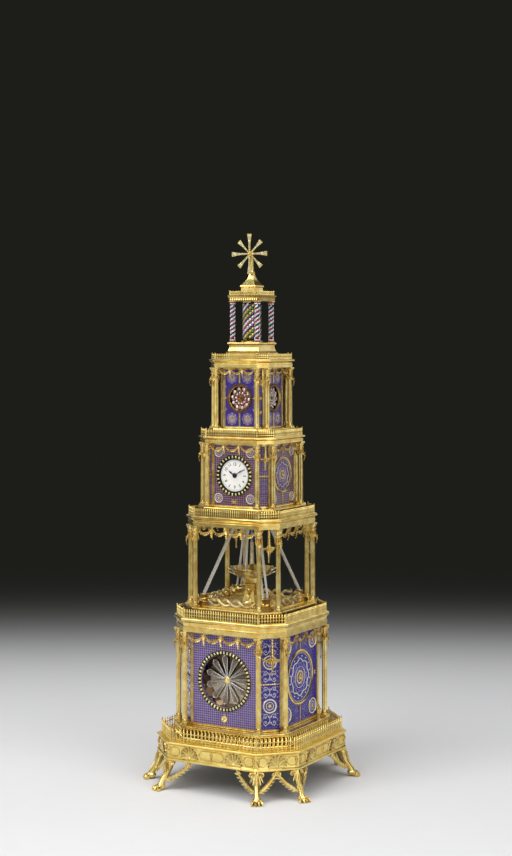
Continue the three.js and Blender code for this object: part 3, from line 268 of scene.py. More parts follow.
def metal(name, bright, shade, hollow, smooth, rough, patch, grain, depth):
    """Rubbed metal: tone drifts over patches, hollows darken with old lacquer and painted shade, and fine
    grain breaks the gloss.
    """
    made, tree, shader = surface(name, {"Metallic": 1.0})
    place = put(tree, "TexCoord").outputs["Object"]
    cloud = put(tree, "TexNoise", {"Vector": place, "Scale": 1 / (patch * MM), "Detail": 4.0})
    drift = put(tree, "MapRange", {"Value": cloud.outputs["Fac"], 1: 0.34, 2: 0.66})
    tone = put(tree, "Mix", {0: drift.outputs[0], 6: bright, 7: shade}, data_type="RGBA")
    # Painted shade: concave places darken towards the hollow colour, partly old lacquer and partly the shade
    # that falls in creases
    form = put(tree, "NewGeometry")
    hollow_film_and_shade = put(tree, "MapRange", {"Value": form.outputs["Pointiness"], 1: 0.48, 2: 0.4, 4: 0.7})
    coloured = put(tree, "Mix", {0: hollow_film_and_shade.outputs[0], 6: tone.outputs[2], 7: hollow}, data_type="RGBA")
    rub = put(tree, "TexNoise", {"Vector": place, "Scale": 1 / (grain * MM), "Detail": 3.0})
    gloss = put(tree, "MapRange", {"Value": rub.outputs["Fac"], 1: 0.3, 2: 0.7, 3: smooth, 4: rough})
    bump = put(tree, "Bump", {"Height": rub.outputs["Fac"], "Strength": 0.1, "Distance": depth * MM})
    plug(tree, shader, {"Base Color": coloured.outputs[2], "Roughness": gloss.outputs[0],
                        "Normal": bump.outputs[0]})
    return made


def wall_enamel(name, middle, front, dot, side, line, gold, pitch, rings, netted_to=-0.9):
    """Vitreous enamel on the flat sides of a case. A side's own coordinates come from its normal: along is
    measured level across it and up from the storey's middle. Sides whose normal has a y below netted_to carry
    rows of dark spots in a fine pale net, the others a faint engine-turned sunburst sown with pale points."""
    made, tree, shader = surface(name, {"Roughness": 0.16})
    coords = put(tree, "TexCoord")
    level = put(tree, "VectorMath", {0: (0, 0, 1), 1: coords.outputs["Normal"]}, operation="CROSS_PRODUCT")
    along = put(tree, "VectorMath", {0: coords.outputs["Object"], 1: level.outputs[0]},
                operation="DOT_PRODUCT")
    height = put(tree, "SeparateXYZ", {0: coords.outputs["Object"]})
    rise = put(tree, "Math", {0: height.outputs[2], 1: middle * MM}, operation="SUBTRACT")
    flat = put(tree, "CombineXYZ", {0: along.outputs["Value"], 1: rise.outputs[0]})
    scale = 1 / (pitch * MM)
    net = put(tree, "TexVoronoi", {"Vector": flat.outputs[0], "Scale": scale, "Randomness": 0.0},
              voronoi_dimensions="2D", feature="DISTANCE_TO_EDGE")
    dots = put(tree, "TexVoronoi", {"Vector": flat.outputs[0], "Scale": scale, "Randomness": 0.0},
               voronoi_dimensions="2D", feature="F1")
    wire = put(tree, "MapRange", {"Value": net.outputs["Distance"], 1: 0.1, 2: 0.05, 4: 0.42})
    spot = put(tree, "MapRange", {"Value": dots.outputs["Distance"], 1: 0.38, 2: 0.28, 4: 0.9})
    radius = put(tree, "VectorMath", {0: flat.outputs[0]}, operation="LENGTH")
    wave = put(tree, "Math", {0: radius.outputs["Value"], 1: math.tau / (rings * MM)}, operation="MULTIPLY")
    swell = put(tree, "Math", {0: wave.outputs[0]}, operation="SINE")
    sown = put(tree, "TexVoronoi", {"Vector": flat.outputs[0], "Scale": scale * 0.7, "Randomness": 0.0},
               voronoi_dimensions="2D", feature="F1")
    point = put(tree, "MapRange", {"Value": sown.outputs["Distance"], 1: 0.13, 2: 0.08, 4: 0.8})
    turning = put(tree, "MapRange", {"Value": swell.outputs[0], 1: -1.0, 2: 1.0, 3: 0.0, 4: 0.09})
    pool = put(tree, "TexNoise", {"Vector": coords.outputs["Object"], "Scale": 1 / (9 * MM), "Detail": 2.0})
    tinted = put(tree, "Mix", {0: turning.outputs[0], 6: side, 7: line}, data_type="RGBA")
    pricked = put(tree, "Mix", {0: point.outputs[0], 6: tinted.outputs[2], 7: line}, data_type="RGBA")
    spotted = put(tree, "Mix", {0: spot.outputs[0], 6: front, 7: dot}, data_type="RGBA")
    netted = put(tree, "Mix", {0: wire.outputs[0], 6: spotted.outputs[2], 7: gold}, data_type="RGBA")
    facing = put(tree, "SeparateXYZ", {0: coords.outputs["Normal"]})
    forward = put(tree, "Math", {0: facing.outputs[1], 1: netted_to}, operation="LESS_THAN")
    chosen = put(tree, "Mix", {0: forward.outputs[0], 6: pricked.outputs[2], 7: netted.outputs[2]},
                 data_type="RGBA")
    depth = put(tree, "MapRange", {"Value": pool.outputs["Fac"], 1: 0.3, 2: 0.7, 3: 0.8, 4: 1.1})
    shaded = put(tree, "VectorMath", {0: chosen.outputs[2], "Scale": depth.outputs[0]}, operation="SCALE")
    bump = put(tree, "Bump", {"Height": pool.outputs["Fac"], "Strength": 0.12, "Distance": 0.0004})
    plug(tree, shader, {"Base Color": shaded.outputs[0], "Normal": bump.outputs[0]})
    return made


def fired_enamel(name, ground, shade, patch):
    """Plain vitreous enamel: a glossy skin over colour that pools unevenly in the firing."""
    made, tree, shader = surface(name, {"Roughness": 0.16})
    place = put(tree, "TexCoord").outputs["Object"]
    pool = put(tree, "TexNoise", {"Vector": place, "Scale": 1 / (patch * MM), "Detail": 3.0})
    drift = put(tree, "MapRange", {"Value": pool.outputs["Fac"], 1: 0.32, 2: 0.68})
    tone = put(tree, "Mix", {0: drift.outputs[0], 6: ground, 7: shade}, data_type="RGBA")
    bump = put(tree, "Bump", {"Height": pool.outputs["Fac"], "Strength": 0.15, "Distance": 0.0003})
    plug(tree, shader, {"Base Color": tone.outputs[2], "Normal": bump.outputs[0]})
    return made


def paste_stone(name, foil):
    """Lead-glass stone cut in facets over a bright foil: mirror-like flashes in the foil's colour, painted as
    brighter and dimmer facets.
    """
    made, tree, shader = surface(name, {"Metallic": 0.45, "Coat Weight": 1.0, "Coat Roughness": 0.02})
    place = put(tree, "TexCoord").outputs["Object"]
    # Painted glints: facets a few millimetres across turn up to a quarter brighter or nearly half darker than
    # the foil
    cells = put(tree, "TexVoronoi", {"Vector": place, "Scale": 1 / (2.4 * MM)})
    painted_glint = put(tree, "SeparateColor", {0: cells.outputs["Color"]})
    gain = put(tree, "MapRange", {"Value": painted_glint.outputs[0], 3: 0.55, 4: 1.25})
    lit = put(tree, "VectorMath", {0: foil[:3], "Scale": gain.outputs[0]}, operation="SCALE")
    gloss = put(tree, "MapRange", {"Value": painted_glint.outputs[1], 3: 0.05, 4: 0.2})
    plug(tree, shader, {"Base Color": lit.outputs[0], "Roughness": gloss.outputs[0]})
    return made


def clear_glass():
    """Drawn lead glass, a little milky, with uneven cords in it that show as bright and dull patches."""
    made, tree, shader = surface(
        "drawn_lead_glass", {"Transmission Weight": 0.45, "IOR": 1.56, "Roughness": 0.09})
    place = put(tree, "TexCoord").outputs["Object"]
    cords = put(tree, "TexNoise", {"Vector": place, "Scale": 1 / (3 * MM), "Detail": 3.0})
    tint = put(tree, "Mix", {0: cords.outputs["Fac"], 6: linear("#FBF9F2"), 7: linear("#D5CDBD")},
               data_type="RGBA")
    bump = put(tree, "Bump", {"Height": cords.outputs["Fac"], "Strength": 0.3, "Distance": 0.0005})
    plug(tree, shader, {"Base Color": tint.outputs[2], "Normal": bump.outputs[0]})
    return made


def ground_glass():
    """Ground and part-polished glass: pale, half clear, and brighter where it catches the light."""
    made, tree, shader = surface("ground_glass", {"Transmission Weight": 0.85, "IOR": 1.5})
    place = put(tree, "TexCoord").outputs["Object"]
    grain = put(tree, "TexNoise", {"Vector": place, "Scale": 1 / (2 * MM), "Detail": 4.0})
    tint = put(tree, "Mix", {0: grain.outputs["Fac"], 6: linear("#DCD0BC"), 7: linear("#A4977F")},
               data_type="RGBA")
    gloss = put(tree, "MapRange", {"Value": grain.outputs["Fac"], 1: 0.35, 2: 0.65, 3: 0.14, 4: 0.34})
    plug(tree, shader, {"Base Color": tint.outputs[2], "Roughness": gloss.outputs[0]})
    return made


def mirror(name, silvering, silver, brown, clear, full, ripple, strength):
    """Old silvered glass: one colour below a height and another above it, its sheet a little uneven."""
    made, tree, shader = surface(name, {"Metallic": silvering})
    place = put(tree, "TexCoord").outputs["Object"]
    height = put(tree, "SeparateXYZ", {0: place})
    wave = put(tree, "TexNoise", {"Vector": place, "Scale": 1 / (ripple * MM), "Detail": 2.0})
    spots = put(tree, "TexNoise", {"Vector": place, "Scale": 1 / (1.6 * MM), "Detail": 4.0})
    # On the star's mirror this is a painted reflection: the lower colour stands for the pale floor, the upper
    # for the dark room
    height_blend = put(tree, "MapRange", {"Value": height.outputs[2], 1: clear * MM, 2: full * MM},
               interpolation_type="SMOOTHSTEP")
    tone = put(tree, "Mix", {0: height_blend.outputs[0], 6: silver, 7: brown}, data_type="RGBA")
    gloss = put(tree, "MapRange", {"Value": spots.outputs["Fac"], 1: 0.4, 2: 0.8, 3: 0.06, 4: 0.3})
    bump = put(tree, "Bump", {"Height": wave.outputs["Fac"], "Strength": strength, "Distance": 0.002})
    plug(tree, shader, {"Base Color": tone.outputs[2], "Roughness": gloss.outputs[0],
                        "Normal": bump.outputs[0]})
    return made


def studio_floor(pale):
    """Matt paper floor with a painted pool of light: pale round the clock, fading into the dark, soonest
    behind the clock.
    """
    made, tree, shader = surface("matt_paper_floor", {"Roughness": 0.9, "Specular IOR Level": 0.05})
    place = put(tree, "TexCoord").outputs["Object"]
    turned_back = put(tree, "Mapping", {"Vector": place, "Rotation": (0, 0, -CAMERA_AZIMUTH)})
    back = put(tree, "SeparateXYZ", {0: turned_back.outputs[0]})
    past = put(tree, "Math", {0: back.outputs[1], 1: FADE_BEHIND}, operation="SUBTRACT")
    slope = put(tree, "Math", {0: past.outputs[0], 1: FADE_SOFTNESS}, operation="DIVIDE")
    fade = put(tree, "Math", {0: slope.outputs[0]}, operation="TANH")
    painted_light_behind = put(tree, "MapRange", {"Value": fade.outputs[0], 1: 1.0, 2: -1.0})
    reach = put(tree, "VectorMath", {0: place}, operation="LENGTH")
    pool = put(tree, "MapRange", {"Value": reach.outputs["Value"], 1: FADE_TO, 2: FADE_FROM},
               interpolation_type="SMOOTHSTEP")
    whole = put(tree, "Math", {0: painted_light_behind.outputs[0], 1: pool.outputs[0]}, operation="MULTIPLY")
    fibre = put(tree, "TexNoise", {"Vector": place, "Scale": 1 / (40 * MM), "Detail": 4.0})
    mottle = put(tree, "MapRange", {"Value": fibre.outputs["Fac"], 3: 0.98, 4: 1.01})
    shaded = put(tree, "VectorMath", {0: pale[:3], "Scale": mottle.outputs[0]}, operation="SCALE")
    plug(tree, shader, {"Alpha": whole.outputs[0], "Base Color": shaded.outputs[0]})
    return made


# Shapes. Each returns a small mesh in millimetres that is set in place, often many times.

def mesh_of(form):
    mesh = bpy.data.meshes.new("shape")
    form.to_mesh(mesh)
    form.free()
    return mesh


def raised(steps, base, size=1.0):
    """The steps of a profile, sized up and raised to a base."""
    return [(across * size, base + up * size) for across, up in steps]


def turned(profile, steps=24):
    """A turned shape on the Z axis from pairs of radius and height."""
    form = bmesh.new()
    verts = [form.verts.new((r, 0, z)) for r, z in profile]
    edges = [form.edges.new(pair) for pair in zip(verts, verts[1:])]
    bmesh.ops.spin(form, geom=verts + edges, axis=(0, 0, 1), angle=math.tau, steps=steps, use_merge=True)
    bmesh.ops.remove_doubles(form, verts=form.verts, dist=1e-4)
    bmesh.ops.recalc_face_normals(form, faces=form.faces)
    return mesh_of(form)


def grown(form, edges):
    """Extrudes a ring of edges and returns the new ring's vertices and edges."""
    made = bmesh.ops.extrude_edge_only(form, edges=edges)["geom"]
    verts = [g for g in made if isinstance(g, bmesh.types.BMVert)]
    fresh = set(verts)
    return verts, [g for g in made if isinstance(g, bmesh.types.BMEdge) and fresh.issuperset(g.verts)]


def drawn(section, steps):
    """A section drawn up the Z axis; each step is a height, a size and a turn."""
    form = bmesh.new()
    z, size, turn = steps[0]
    spun = Matrix.Rotation(turn, 2)
    ring = [form.verts.new((*(spun @ Vector(point) * size), z)) for point in section]
    edges = [form.edges.new(pair) for pair in zip(ring, ring[1:] + ring[:1])]
    bmesh.ops.contextual_create(form, geom=edges)
    for height, bigger, further in steps[1:]:
        verts, edges = grown(form, edges)
        share = bigger / size
        move = at(0, 0, height) @ about("Z", further - turn) @ sized(share, share, 1)
        bmesh.ops.transform(form, matrix=move @ at(0, 0, -z), verts=verts)
        z, size, turn = height, bigger, further
    bmesh.ops.contextual_create(form, geom=edges)
    bmesh.ops.recalc_face_normals(form, faces=form.faces)
    return mesh_of(form)


def plan(face, half):
    """The tower's eight corners, or four where no half is given."""
    if half is None:
        return [(-face, -face), (face, -face), (face, face), (-face, face)]
    corners = [(-half, -face), (half, -face), (face, -half), (face, half)]
    return corners + [(-x, -y) for x, y in corners]


def moulded(profile, face, half=None):
    """A block on the tower's plan, whose sides follow a moulding of offsets and heights."""
    form = bmesh.new()
    edges = []
    for offset, z in profile:
        corners = plan(face + offset, None if half is None else half + MITRE * offset)
        if not edges:
            ring = [form.verts.new((x, y, z)) for x, y in corners]
            edges = [form.edges.new(pair) for pair in zip(ring, ring[1:] + ring[:1])]
            bmesh.ops.contextual_create(form, geom=edges)
            continue
        verts, edges = grown(form, edges)
        for vert in verts:
            angle = math.atan2(vert.co.y, vert.co.x)
            x, y = min(corners, key=lambda c: abs(math.remainder(math.atan2(c[1], c[0]) - angle, math.tau)))
            vert.co = (x, y, z)
    bmesh.ops.contextual_create(form, geom=edges)
    bmesh.ops.recalc_face_normals(form, faces=form.faces)
    return mesh_of(form)


def mesh_from(curve):
    """The mesh of a curve, which is then deleted."""
    holder = bpy.data.objects.new(curve.name, curve)
    mesh = bpy.data.meshes.new_from_object(holder)
    bpy.data.objects.remove(holder)
    bpy.data.curves.remove(curve)
    mesh.materials.clear()
    return mesh


def strand(points, radii, sides=8, cyclic=False, steps=3):
    """A round strand through points, with a radius at each."""
    curve = bpy.data.curves.new("strand", "CURVE")
    curve.dimensions = "3D"
    curve.bevel_depth = 1.0
    curve.bevel_resolution = (sides - 4) // 2
    curve.use_fill_caps = not cyclic
    line = curve.splines.new("NURBS")
    line.points.add(len(points) - 1)
    for i, (knot, point) in enumerate(zip(line.points, points)):
        knot.co = (*point, 1.0)
        knot.radius = radii if isinstance(radii, (int, float)) else radii[i]
    line.order_u = min(4, len(points))
    line.use_endpoint_u = not cyclic
    line.use_cyclic_u = cyclic
    line.resolution_u = steps
    return mesh_from(curve)


def lettered(words, height):
    """A numeral cut from sheet, centred."""
    curve = bpy.data.curves.new("numeral", "FONT")
    curve.body = words
    curve.size = height * 1.4
    curve.extrude = 0.06
    curve.offset = 0.09
    curve.resolution_u = 3
    curve.align_x = "CENTER"
    curve.align_y = "CENTER"
    return mesh_from(curve)


def lobed(count, inner, share=2):
    """A section whose radius swells to one millimetre and dips."""
    total = count * share
    points = []
    for i in range(total):
        angle = math.tau * i / total
        reach = inner + (1.0 - inner) * (0.5 + 0.5 * math.cos(math.tau * i / share))
        points.append((reach * math.cos(angle), reach * math.sin(angle)))
    return points


def block():
    """A bar one millimetre on a side, with softened edges."""
    form = bmesh.new()
    bmesh.ops.create_cube(form, size=1.0)
    bmesh.ops.bevel(form, geom=form.edges[:], offset=0.06, segments=1, profile=0.5,
                    affect="EDGES", material=-1)
    return mesh_of(form)


def leaf():
    """A leaf along +Y, hollowed and curled up at its tip."""
    form = bmesh.new()
    bmesh.ops.create_uvsphere(form, u_segments=6, v_segments=5, radius=0.5)
    bmesh.ops.rotate(form, verts=form.verts, matrix=Matrix.Rotation(-QUARTER, 3, "X"))
    bmesh.ops.scale(form, verts=form.verts, vec=(0.5, 1.0, 0.2))
    bmesh.ops.translate(form, verts=form.verts, vec=(0, 0.5, 0))
    for vert in form.verts:
        vert.co.z += 0.3 * vert.co.y ** 2 + 0.6 * vert.co.x ** 2
    return mesh_of(form)


def bead():
    form = bmesh.new()
    bmesh.ops.create_uvsphere(form, u_segments=8, v_segments=5, radius=1.0)
    return mesh_of(form)


def flower():
    """Five petals round a raised eye, one millimetre in radius."""
    petals = [(0, 0.9, 0), (0.3, 1, 0), (0.42, 0.8, 0), (0.34, 0.42, 0), (0.6, 0.26, 0)]
    return drawn(lobed(5, 0.5, share=4), petals)


def rosette_flower():
    """Eight pointed petals round an eye."""
    return drawn(lobed(8, 0.42), [(0, 1, 0), (0.18, 0.95, 0), (0.1, 0.45, 0), (0.3, 0.2, 0)])


SQUARE = [(0.5, 0.5), (-0.5, 0.5), (-0.5, -0.5), (0.5, -0.5)]


def square_stone():
    """A step-cut stone with a side of one millimetre."""
    return drawn(SQUARE, [(0, 1, 0), (0.16, 1, 0), (0.36, 0.72, 0), (0.42, 0.5, 0)])


def round_stone():
    """A brilliant with a radius of one millimetre."""
    return drawn(lobed(8, 1.0, share=1), [(0, 1, 0), (0.25, 1, 0), (0.6, 0.52, 0)])


def picket():
    """A gallery bar with a spear head, one millimetre high and sized up to its gallery."""
    return turned([(0, 0), (0.9, 0), (0.9, 0.7), (1.3, 0.76), (0.6, 0.81), (1.2, 0.89), (0, 1)], 4)


def corner_post():
    """A gallery's corner post with its ball and spike."""
    return turned([(0, 0), (1.3, 0), (1.3, 0.7), (1.8, 0.72), (1.8, 0.78), (0.7, 0.8), (1.4, 0.87),
                   (0.5, 0.93), (0, 1.0)], 8)


def baluster():
    """A short baluster one millimetre high."""
    return turned([(0, 0), (1.25, 0), (1.25, 0.1), (0.7, 0.16), (1.3, 0.4), (1.1, 0.6), (0.65, 0.8),
                   (1.25, 0.88), (1.25, 1), (0, 1)], 6)


STAMPS = {}


def stamp(make):
    """The mesh that a shape function makes, made once."""
    if make not in STAMPS:
        STAMPS[make] = make()
    return STAMPS[make]


# Places

def at(x, y, z):
    return Matrix.Translation((x, y, z))


def sized(x, y, z):
    return Matrix.Diagonal((x, y, z, 1))


def about(axis, angle):
    return Matrix.Rotation(angle, 4, axis)


FACING = about("X", QUARTER)  # a shape drawn flat stands up and faces the front
UPRIGHT = about("X", -QUARTER)  # a turned shape stands along a wall's up direction


def on_wall(turn, away, along, z):
    """A place on an upright wall: x runs right, y up and z out of it."""
    return turn @ at(along, -away, z) @ FACING


def panel_places(turn, away, middle):
    """Gives places on a panel by how far along it and above its middle they are."""
    def place(along, up):
        return on_wall(turn, away, along, middle + up)
    return place


def round_wall(angle, radius, z):
    """A place on an upright drum, with z out of it."""
    return on_wall(about("Z", angle), radius, 0, z)


def sides(face, half):
    """Each of the eight sides: its number, its turn, its distance and half its length."""
    for k in range(8):
        broad = k % 2 == 0
        away = face if broad else (face + half) / math.sqrt(2)
        yield k, about("Z", k * math.pi / 4), away, half if broad else (face - half) / math.sqrt(2)


def aimed(point, along, out, size):
    """A place with y along one direction and z as near another as it can be."""
    y = Vector(along).normalized()
    x = y.cross(Vector(out)).normalized()
    place = Matrix((x * size[0], y * size[1], x.cross(y) * size[2])).transposed().to_4x4()
    place.translation = point
    return place


class Work:
    """A piece in the making, in millimetres, with the finishes on its faces."""

    def __init__(self):
        self.form = bmesh.new()
        self.finishes = []

    def set(self, shape, finish, *places):
        """Copies a shape, or the one that a shape function makes, to each place in a finish."""
        if callable(shape):
            shape = stamp(shape)
        if finish not in self.finishes:
            self.finishes.append(finish)
        shape.polygons.foreach_set("material_index", [self.finishes.index(finish)] * len(shape.polygons))
        for place in places or (Matrix(),):
            copy = shape.copy()
            copy.transform(place)
            if place.determinant() < 0:
                copy.flip_normals()
            self.form.from_mesh(copy)
            bpy.data.meshes.remove(copy)

    def gild(self, shape, *places):
        self.set(shape, "gilding", *places)

    def bar(self, place, width, height, depth, finish="gilding"):
        """A straight bar standing on a wall."""
        self.set(block, finish, place @ at(0, 0, depth / 2) @ sized(width, height, depth))

    def mesh(self):
        return mesh_of(self.form)

    def done(self, name, *nodes, body="tower", slot="gilt_metal", crease=32):
        """Makes the piece, in metres, and hangs it on its body."""
        mesh = self.mesh()
        mesh.name = name
        mesh.transform(Matrix.Scale(MM, 4))
        for finish in self.finishes:
            mesh.materials.append(FINISH[finish])
        mesh.shade_smooth()
        mesh.set_sharp_from_angle(angle=math.radians(crease))
        piece = bpy.data.objects.new(name, mesh)
        bpy.context.scene.collection.objects.link(piece)
        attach(piece, body)
        if nodes:
            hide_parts(*nodes)


# Parts of pieces

def ring_of(inner, outer, height, steps=48):
    """A flat ring with a rounded top, closed below."""
    middle = (inner + outer) / 2
    return turned([(inner, 0), (inner, height * 0.6), (middle, height), (outer, height * 0.6),
                   (outer, 0), (inner, 0)], steps)


def disc_of(radius, height, steps=40):
    return turned([(0, 0), (radius, 0), (radius, height * 0.8), (radius * 0.96, height), (0, height)], steps)


def gallery(work, face, half, z, height, pitch, rails=(0.04, 0.36, 0.68), stout=1.0):
    """A pierced gallery with its outer faces on a plan."""
    for _, turn, away, reach in sides(face, half):
        count = max(2, round(2 * reach / pitch))
        step = 2 * reach / count
        work.gild(picket, *[
            turn @ at(-reach + (i + 0.5) * step, -away + 1.4, z) @ sized(stout, stout, height)
            for i in range(count)])
        for level in rails:
            work.gild(block, turn @ at(0, -away + 1.4, z + level * height) @ sized(2 * reach + 1, 2.0, 1.3))
    for x, y in plan(face - 1.4, half - 1.4 * MITRE):
        work.gild(corner_post, at(x, y, z) @ sized(1, 1, height * 1.22))


def column(radius, height, flutes):
    """A fluted column with a moulded base and a two-tiered leafy capital, standing at z = 0."""
    work = Work()
    r, top = radius, height - CAPITAL * radius
    work.gild(block, at(0, 0, 0.4 * r) @ sized(3 * r, 3 * r, 0.8 * r))
    foot = [(0, 0.8), (1.45, 0.8), (1.5, 1.1), (1.4, 1.4), (1.12, 1.55), (1.1, 1.75), (1.28, 1.9),
            (1.25, 2.1), (1, 2.3), (0, 2.3)]
    work.gild(turned(raised(foot, 0, r), 16))
    shaft = [(2.2 * r, r, 0), (2.2 * r + 0.4 * (top - 2.2 * r), 0.985 * r, 0), (top, 0.88 * r, 0)]
    work.gild(drawn(lobed(flutes, 0.89), shaft))
    cup = [(0, -0.1), (0.95, -0.1), (1.18, 0.0), (1.18, 0.2), (0.92, 0.3), (0.95, 0.8), (1.08, 1.2),
           (1.25, 1.3), (1.25, 1.5), (0.95, 1.6), (0.98, 2.2), (1.18, 2.7), (1.42, 2.95), (0, 2.95)]
    work.gild(turned(raised(cup, top, r), 16))
    for row, (low, tall) in enumerate(((0.2, 1.15), (1.55, 1.5))):
        for i in range(8):
            place = round_wall((i + 0.5 * row) * math.tau / 8, 0.9 * r, top + low * r)
            work.gild(leaf, place @ about("X", 0.2) @ sized(1.2 * r, tall * r, 1.3 * r))
    for i in range(4):
        place = at(0, 0, top + 2.75 * r) @ about("Z", math.pi / 4 + i * QUARTER) @ at(0, -1.4 * r, 0)
        work.gild(bead, place @ sized(0.42 * r, 0.3 * r, 0.42 * r))
    work.gild(block, at(0, 0, height - 0.32 * r) @ sized(2.9 * r, 2.9 * r, 0.64 * r))
    return work.mesh()


# Leafwork takes the chased gilding, whose darker gold is partly painted shade
def frond(work, place, lean, lift, wide, long, deep, finish="chased_and_shaded"):
    """A leaf that leans to one side and lifts off its wall."""
    work.set(leaf, finish, place @ about("Z", lean) @ about("X", lift) @ sized(wide, long, deep))


def swag(work, wall, left, right, sag, size):
    """A leafy rope hung between two points of a wall, fullest in its middle, with flowers along it."""
    span = right - left
    dip = [(left + span * i / 8, -sag * (1 - (i / 4 - 1) ** 2), 0.9) for i in range(9)]
    work.set(strand(dip, [size * (0.1 + 0.1 * math.sin(math.pi * i / 8)) for i in range(9)], 6, steps=2),
             "chased_and_shaded", wall)
    count = max(7, round(span / size * 2.4))
    for i in range(count):
        t = (i + 0.5) / count
        full = 0.55 + 0.45 * math.sin(math.pi * t)
        place = wall @ at(left + span * t, -sag * 4 * t * (1 - t) * 0.94, size * 0.14)
        slope = math.atan2(-sag * 4 * (1 - 2 * t), span) - QUARTER + (math.pi if t > 0.5 else 0)
        for lean in (-0.85, 0.85):
            frond(work, place, slope + lean, 0.3, size * 0.5 * full, size * 0.85 * full, size * 0.8 * full)
        if i % 3 == 1:
            work.set(flower, "chased_and_shaded", place @ at(0, 0, size * 0.1) @ sized(*[size * 0.4 * full] * 3))


def drop(work, wall, length, size):
    """A bow with a pointed crest, and the husk chain that hangs from it."""
    crest = turned([(0, -0.5), (0.3, -0.4), (0.2, 0.2), (0.26, 0.4), (0, 1.0)], 8)
    work.set(crest, "chased_and_shaded", wall @ at(0, 0, 0.8) @ UPRIGHT @ sized(size, size * 0.7, size))
    for side in (-1, 1):
        for lean, long in ((0.4, 0.9), (1.3, 1.0), (2.4, 1.2)):
            frond(work, wall @ at(0, 0, 0.9), -side * lean, 0.3, size * 0.6, size * long, size * 0.6)
    work.set(bead, "chased_and_shaded", wall @ at(0, 0, 2.0) @ sized(size * 0.22, size * 0.22, size * 0.2))
    count = max(3, round(length / (size * 0.55)))
    for i in range(count):
        t = i / count
        small = size * (0.95 - 0.5 * t)
        place = wall @ at(0, -length * t - size * 0.4, 0.7)
        for lean in (-0.5, 0.0, 0.5):
            frond(work, place, math.pi + lean, 0.35, small * 0.62, small, small * 0.8)
    work.set(bead, "chased_and_shaded", wall @ at(0, -length - size * 0.6, 0.8) @ sized(1.0, 1.4, 1.0))


def trophy(work, wall, length, size):
    """A hanging trophy: a narrow leafy cone, a broad cluster of leaves and flowers, and a tapering tail."""
    work.set(strand([(0, 2, 0.5), (0.4, -length * 0.25, 1.2), (0, -length * 0.6, 1.8), (0, -length, 0.8)],
                    [0.7, 1.0, 1.6, 0.6], 6), "chased_and_shaded", wall)
    for i in range(7):
        swell = size * (0.72 + 0.06 * i)
        place = wall @ at(0, -length * 0.085 * i, 1.0)
        for lean in (-0.6, 0.0, 0.6):
            frond(work, place, math.pi + lean, 0.35, swell * 0.7, swell * 1.1, swell * 0.8)
    heart = wall @ at(0, -length * 0.62, 1.6)
    for i in range(11):
        frond(work, heart, math.tau * i / 11, 0.3, size * 0.75, size * (1.35 if i % 2 else 1.05), size * 0.9)
    for x, y in ((0, 0.1), (-0.75, 0.25), (0.75, 0.25), (-0.4, -0.6), (0.4, -0.6)):
        work.set(flower, "chased_and_shaded", heart @ at(x * size, y * size, size * 0.25) @ sized(*[size * 0.42] * 3))
    for i in range(5):
        small = size * (0.95 - 0.12 * i)
        place = wall @ at(0, -length * (0.7 + 0.06 * i), 1.0)
        for lean in (-0.45, 0.45):
            frond(work, place, math.pi + lean, 0.3, small * 0.65, small, small * 0.7)
    work.set(bead, "chased_and_shaded", wall @ at(0, -length - size * 0.3, 1.0)
             @ sized(size * 0.24, size * 0.5, size * 0.24))


def collar(work, axis, radius, outward, size):
    """A thick wreath of flowers and leaves under a capital, lower on its outer side with a husk drop."""
    for i in range(9):
        angle = outward + math.tau * i / 9
        fall = radius * (0.75 + 0.75 * (0.5 + 0.5 * math.cos(angle - outward)))
        place = axis @ round_wall(angle, radius * 1.05, -fall)
        work.set(flower if i % 2 else bead, "chased_and_shaded", place @ at(0, 0, size * 0.12)
                 @ sized(*[size * (0.5 if i % 2 else 0.32)] * 3))
        for lean in (-0.6, 0.6, math.pi):
            frond(work, place, math.pi + lean, 0.12, size * 0.75, size * 0.95, size * 0.7)
    drop(work, axis @ round_wall(outward, radius * 1.35, -2.1 * radius), radius * 1.9, size * 0.85)


def shell(work, wall, size):
    """A scallop shell in relief that fills an oval of green gold with a raised rim."""
    work.set(disc_of(1.0, 1.0, 28), "green_gold", wall @ sized(size * 1.5, size, 0.6))
    angles = [math.tau * i / 24 for i in range(24)]
    rim = [(size * 1.5 * math.cos(a), size * math.sin(a), 0.5) for a in angles]
    work.gild(strand(rim, 0.9, 6, cyclic=True, steps=2), wall)
    for i in range(9):
        lean = (i - 4) * 0.383
        reach = 1.0 / math.hypot(math.sin(lean) / 1.36, math.cos(lean) / 1.56)
        frond(work, wall @ at(0, -size * 0.7, 0.3), lean, 0.03, size * 0.66, size * reach, size * 0.62,
              "green_gold" if i % 2 else "gilding")
        tip = wall @ at(-size * reach * math.sin(lean), size * (reach * math.cos(lean) - 0.7), 0.7)
        # Painted shadow: dark dashes at the tips of the ribs, under the shell's scalloped edge
        work.set(bead, "recess", tip @ about("Z", lean) @ sized(size * 0.17, size * 0.07, 0.9))
    work.gild(bead, wall @ at(0, -size * 0.72, 1.0) @ sized(size * 0.26, size * 0.2, size * 0.14))
    for side in (-1, 1):
        curl = [(side * size * (0.25 + 0.17 * i), -size * (0.82 - 0.02 * i * i), 0.9) for i in range(6)]
        work.gild(strand(curl, [0.9, 1.1, 1.0, 0.9, 0.7, 0.4], 6), wall)


def cartouche(work, wall, half_width, half_height):
    """A raised outline with round ends."""
    straight = half_width - half_height
    outline = [(side * (straight + half_height * math.cos(a)), side * half_height * math.sin(a), 0.3)
               for side in (1, -1) for a in [-QUARTER + i * math.pi / 8 for i in range(9)]]
    work.set(strand(outline, 0.9, 6, cyclic=True, steps=2), "chased_and_shaded", wall)


def vase(work, wall, height):
    """A slim vase between two cartouches."""
    outline = [(0, -10), (2.8, -10), (2.8, -8.6), (1.2, -7), (3.2, -1), (3.6, 3), (1.8, 6.5), (2.6, 8.5),
               (0, 10)]
    work.set(turned(raised(outline, 0, height / 20), 12), "chased_and_shaded", wall @ UPRIGHT)


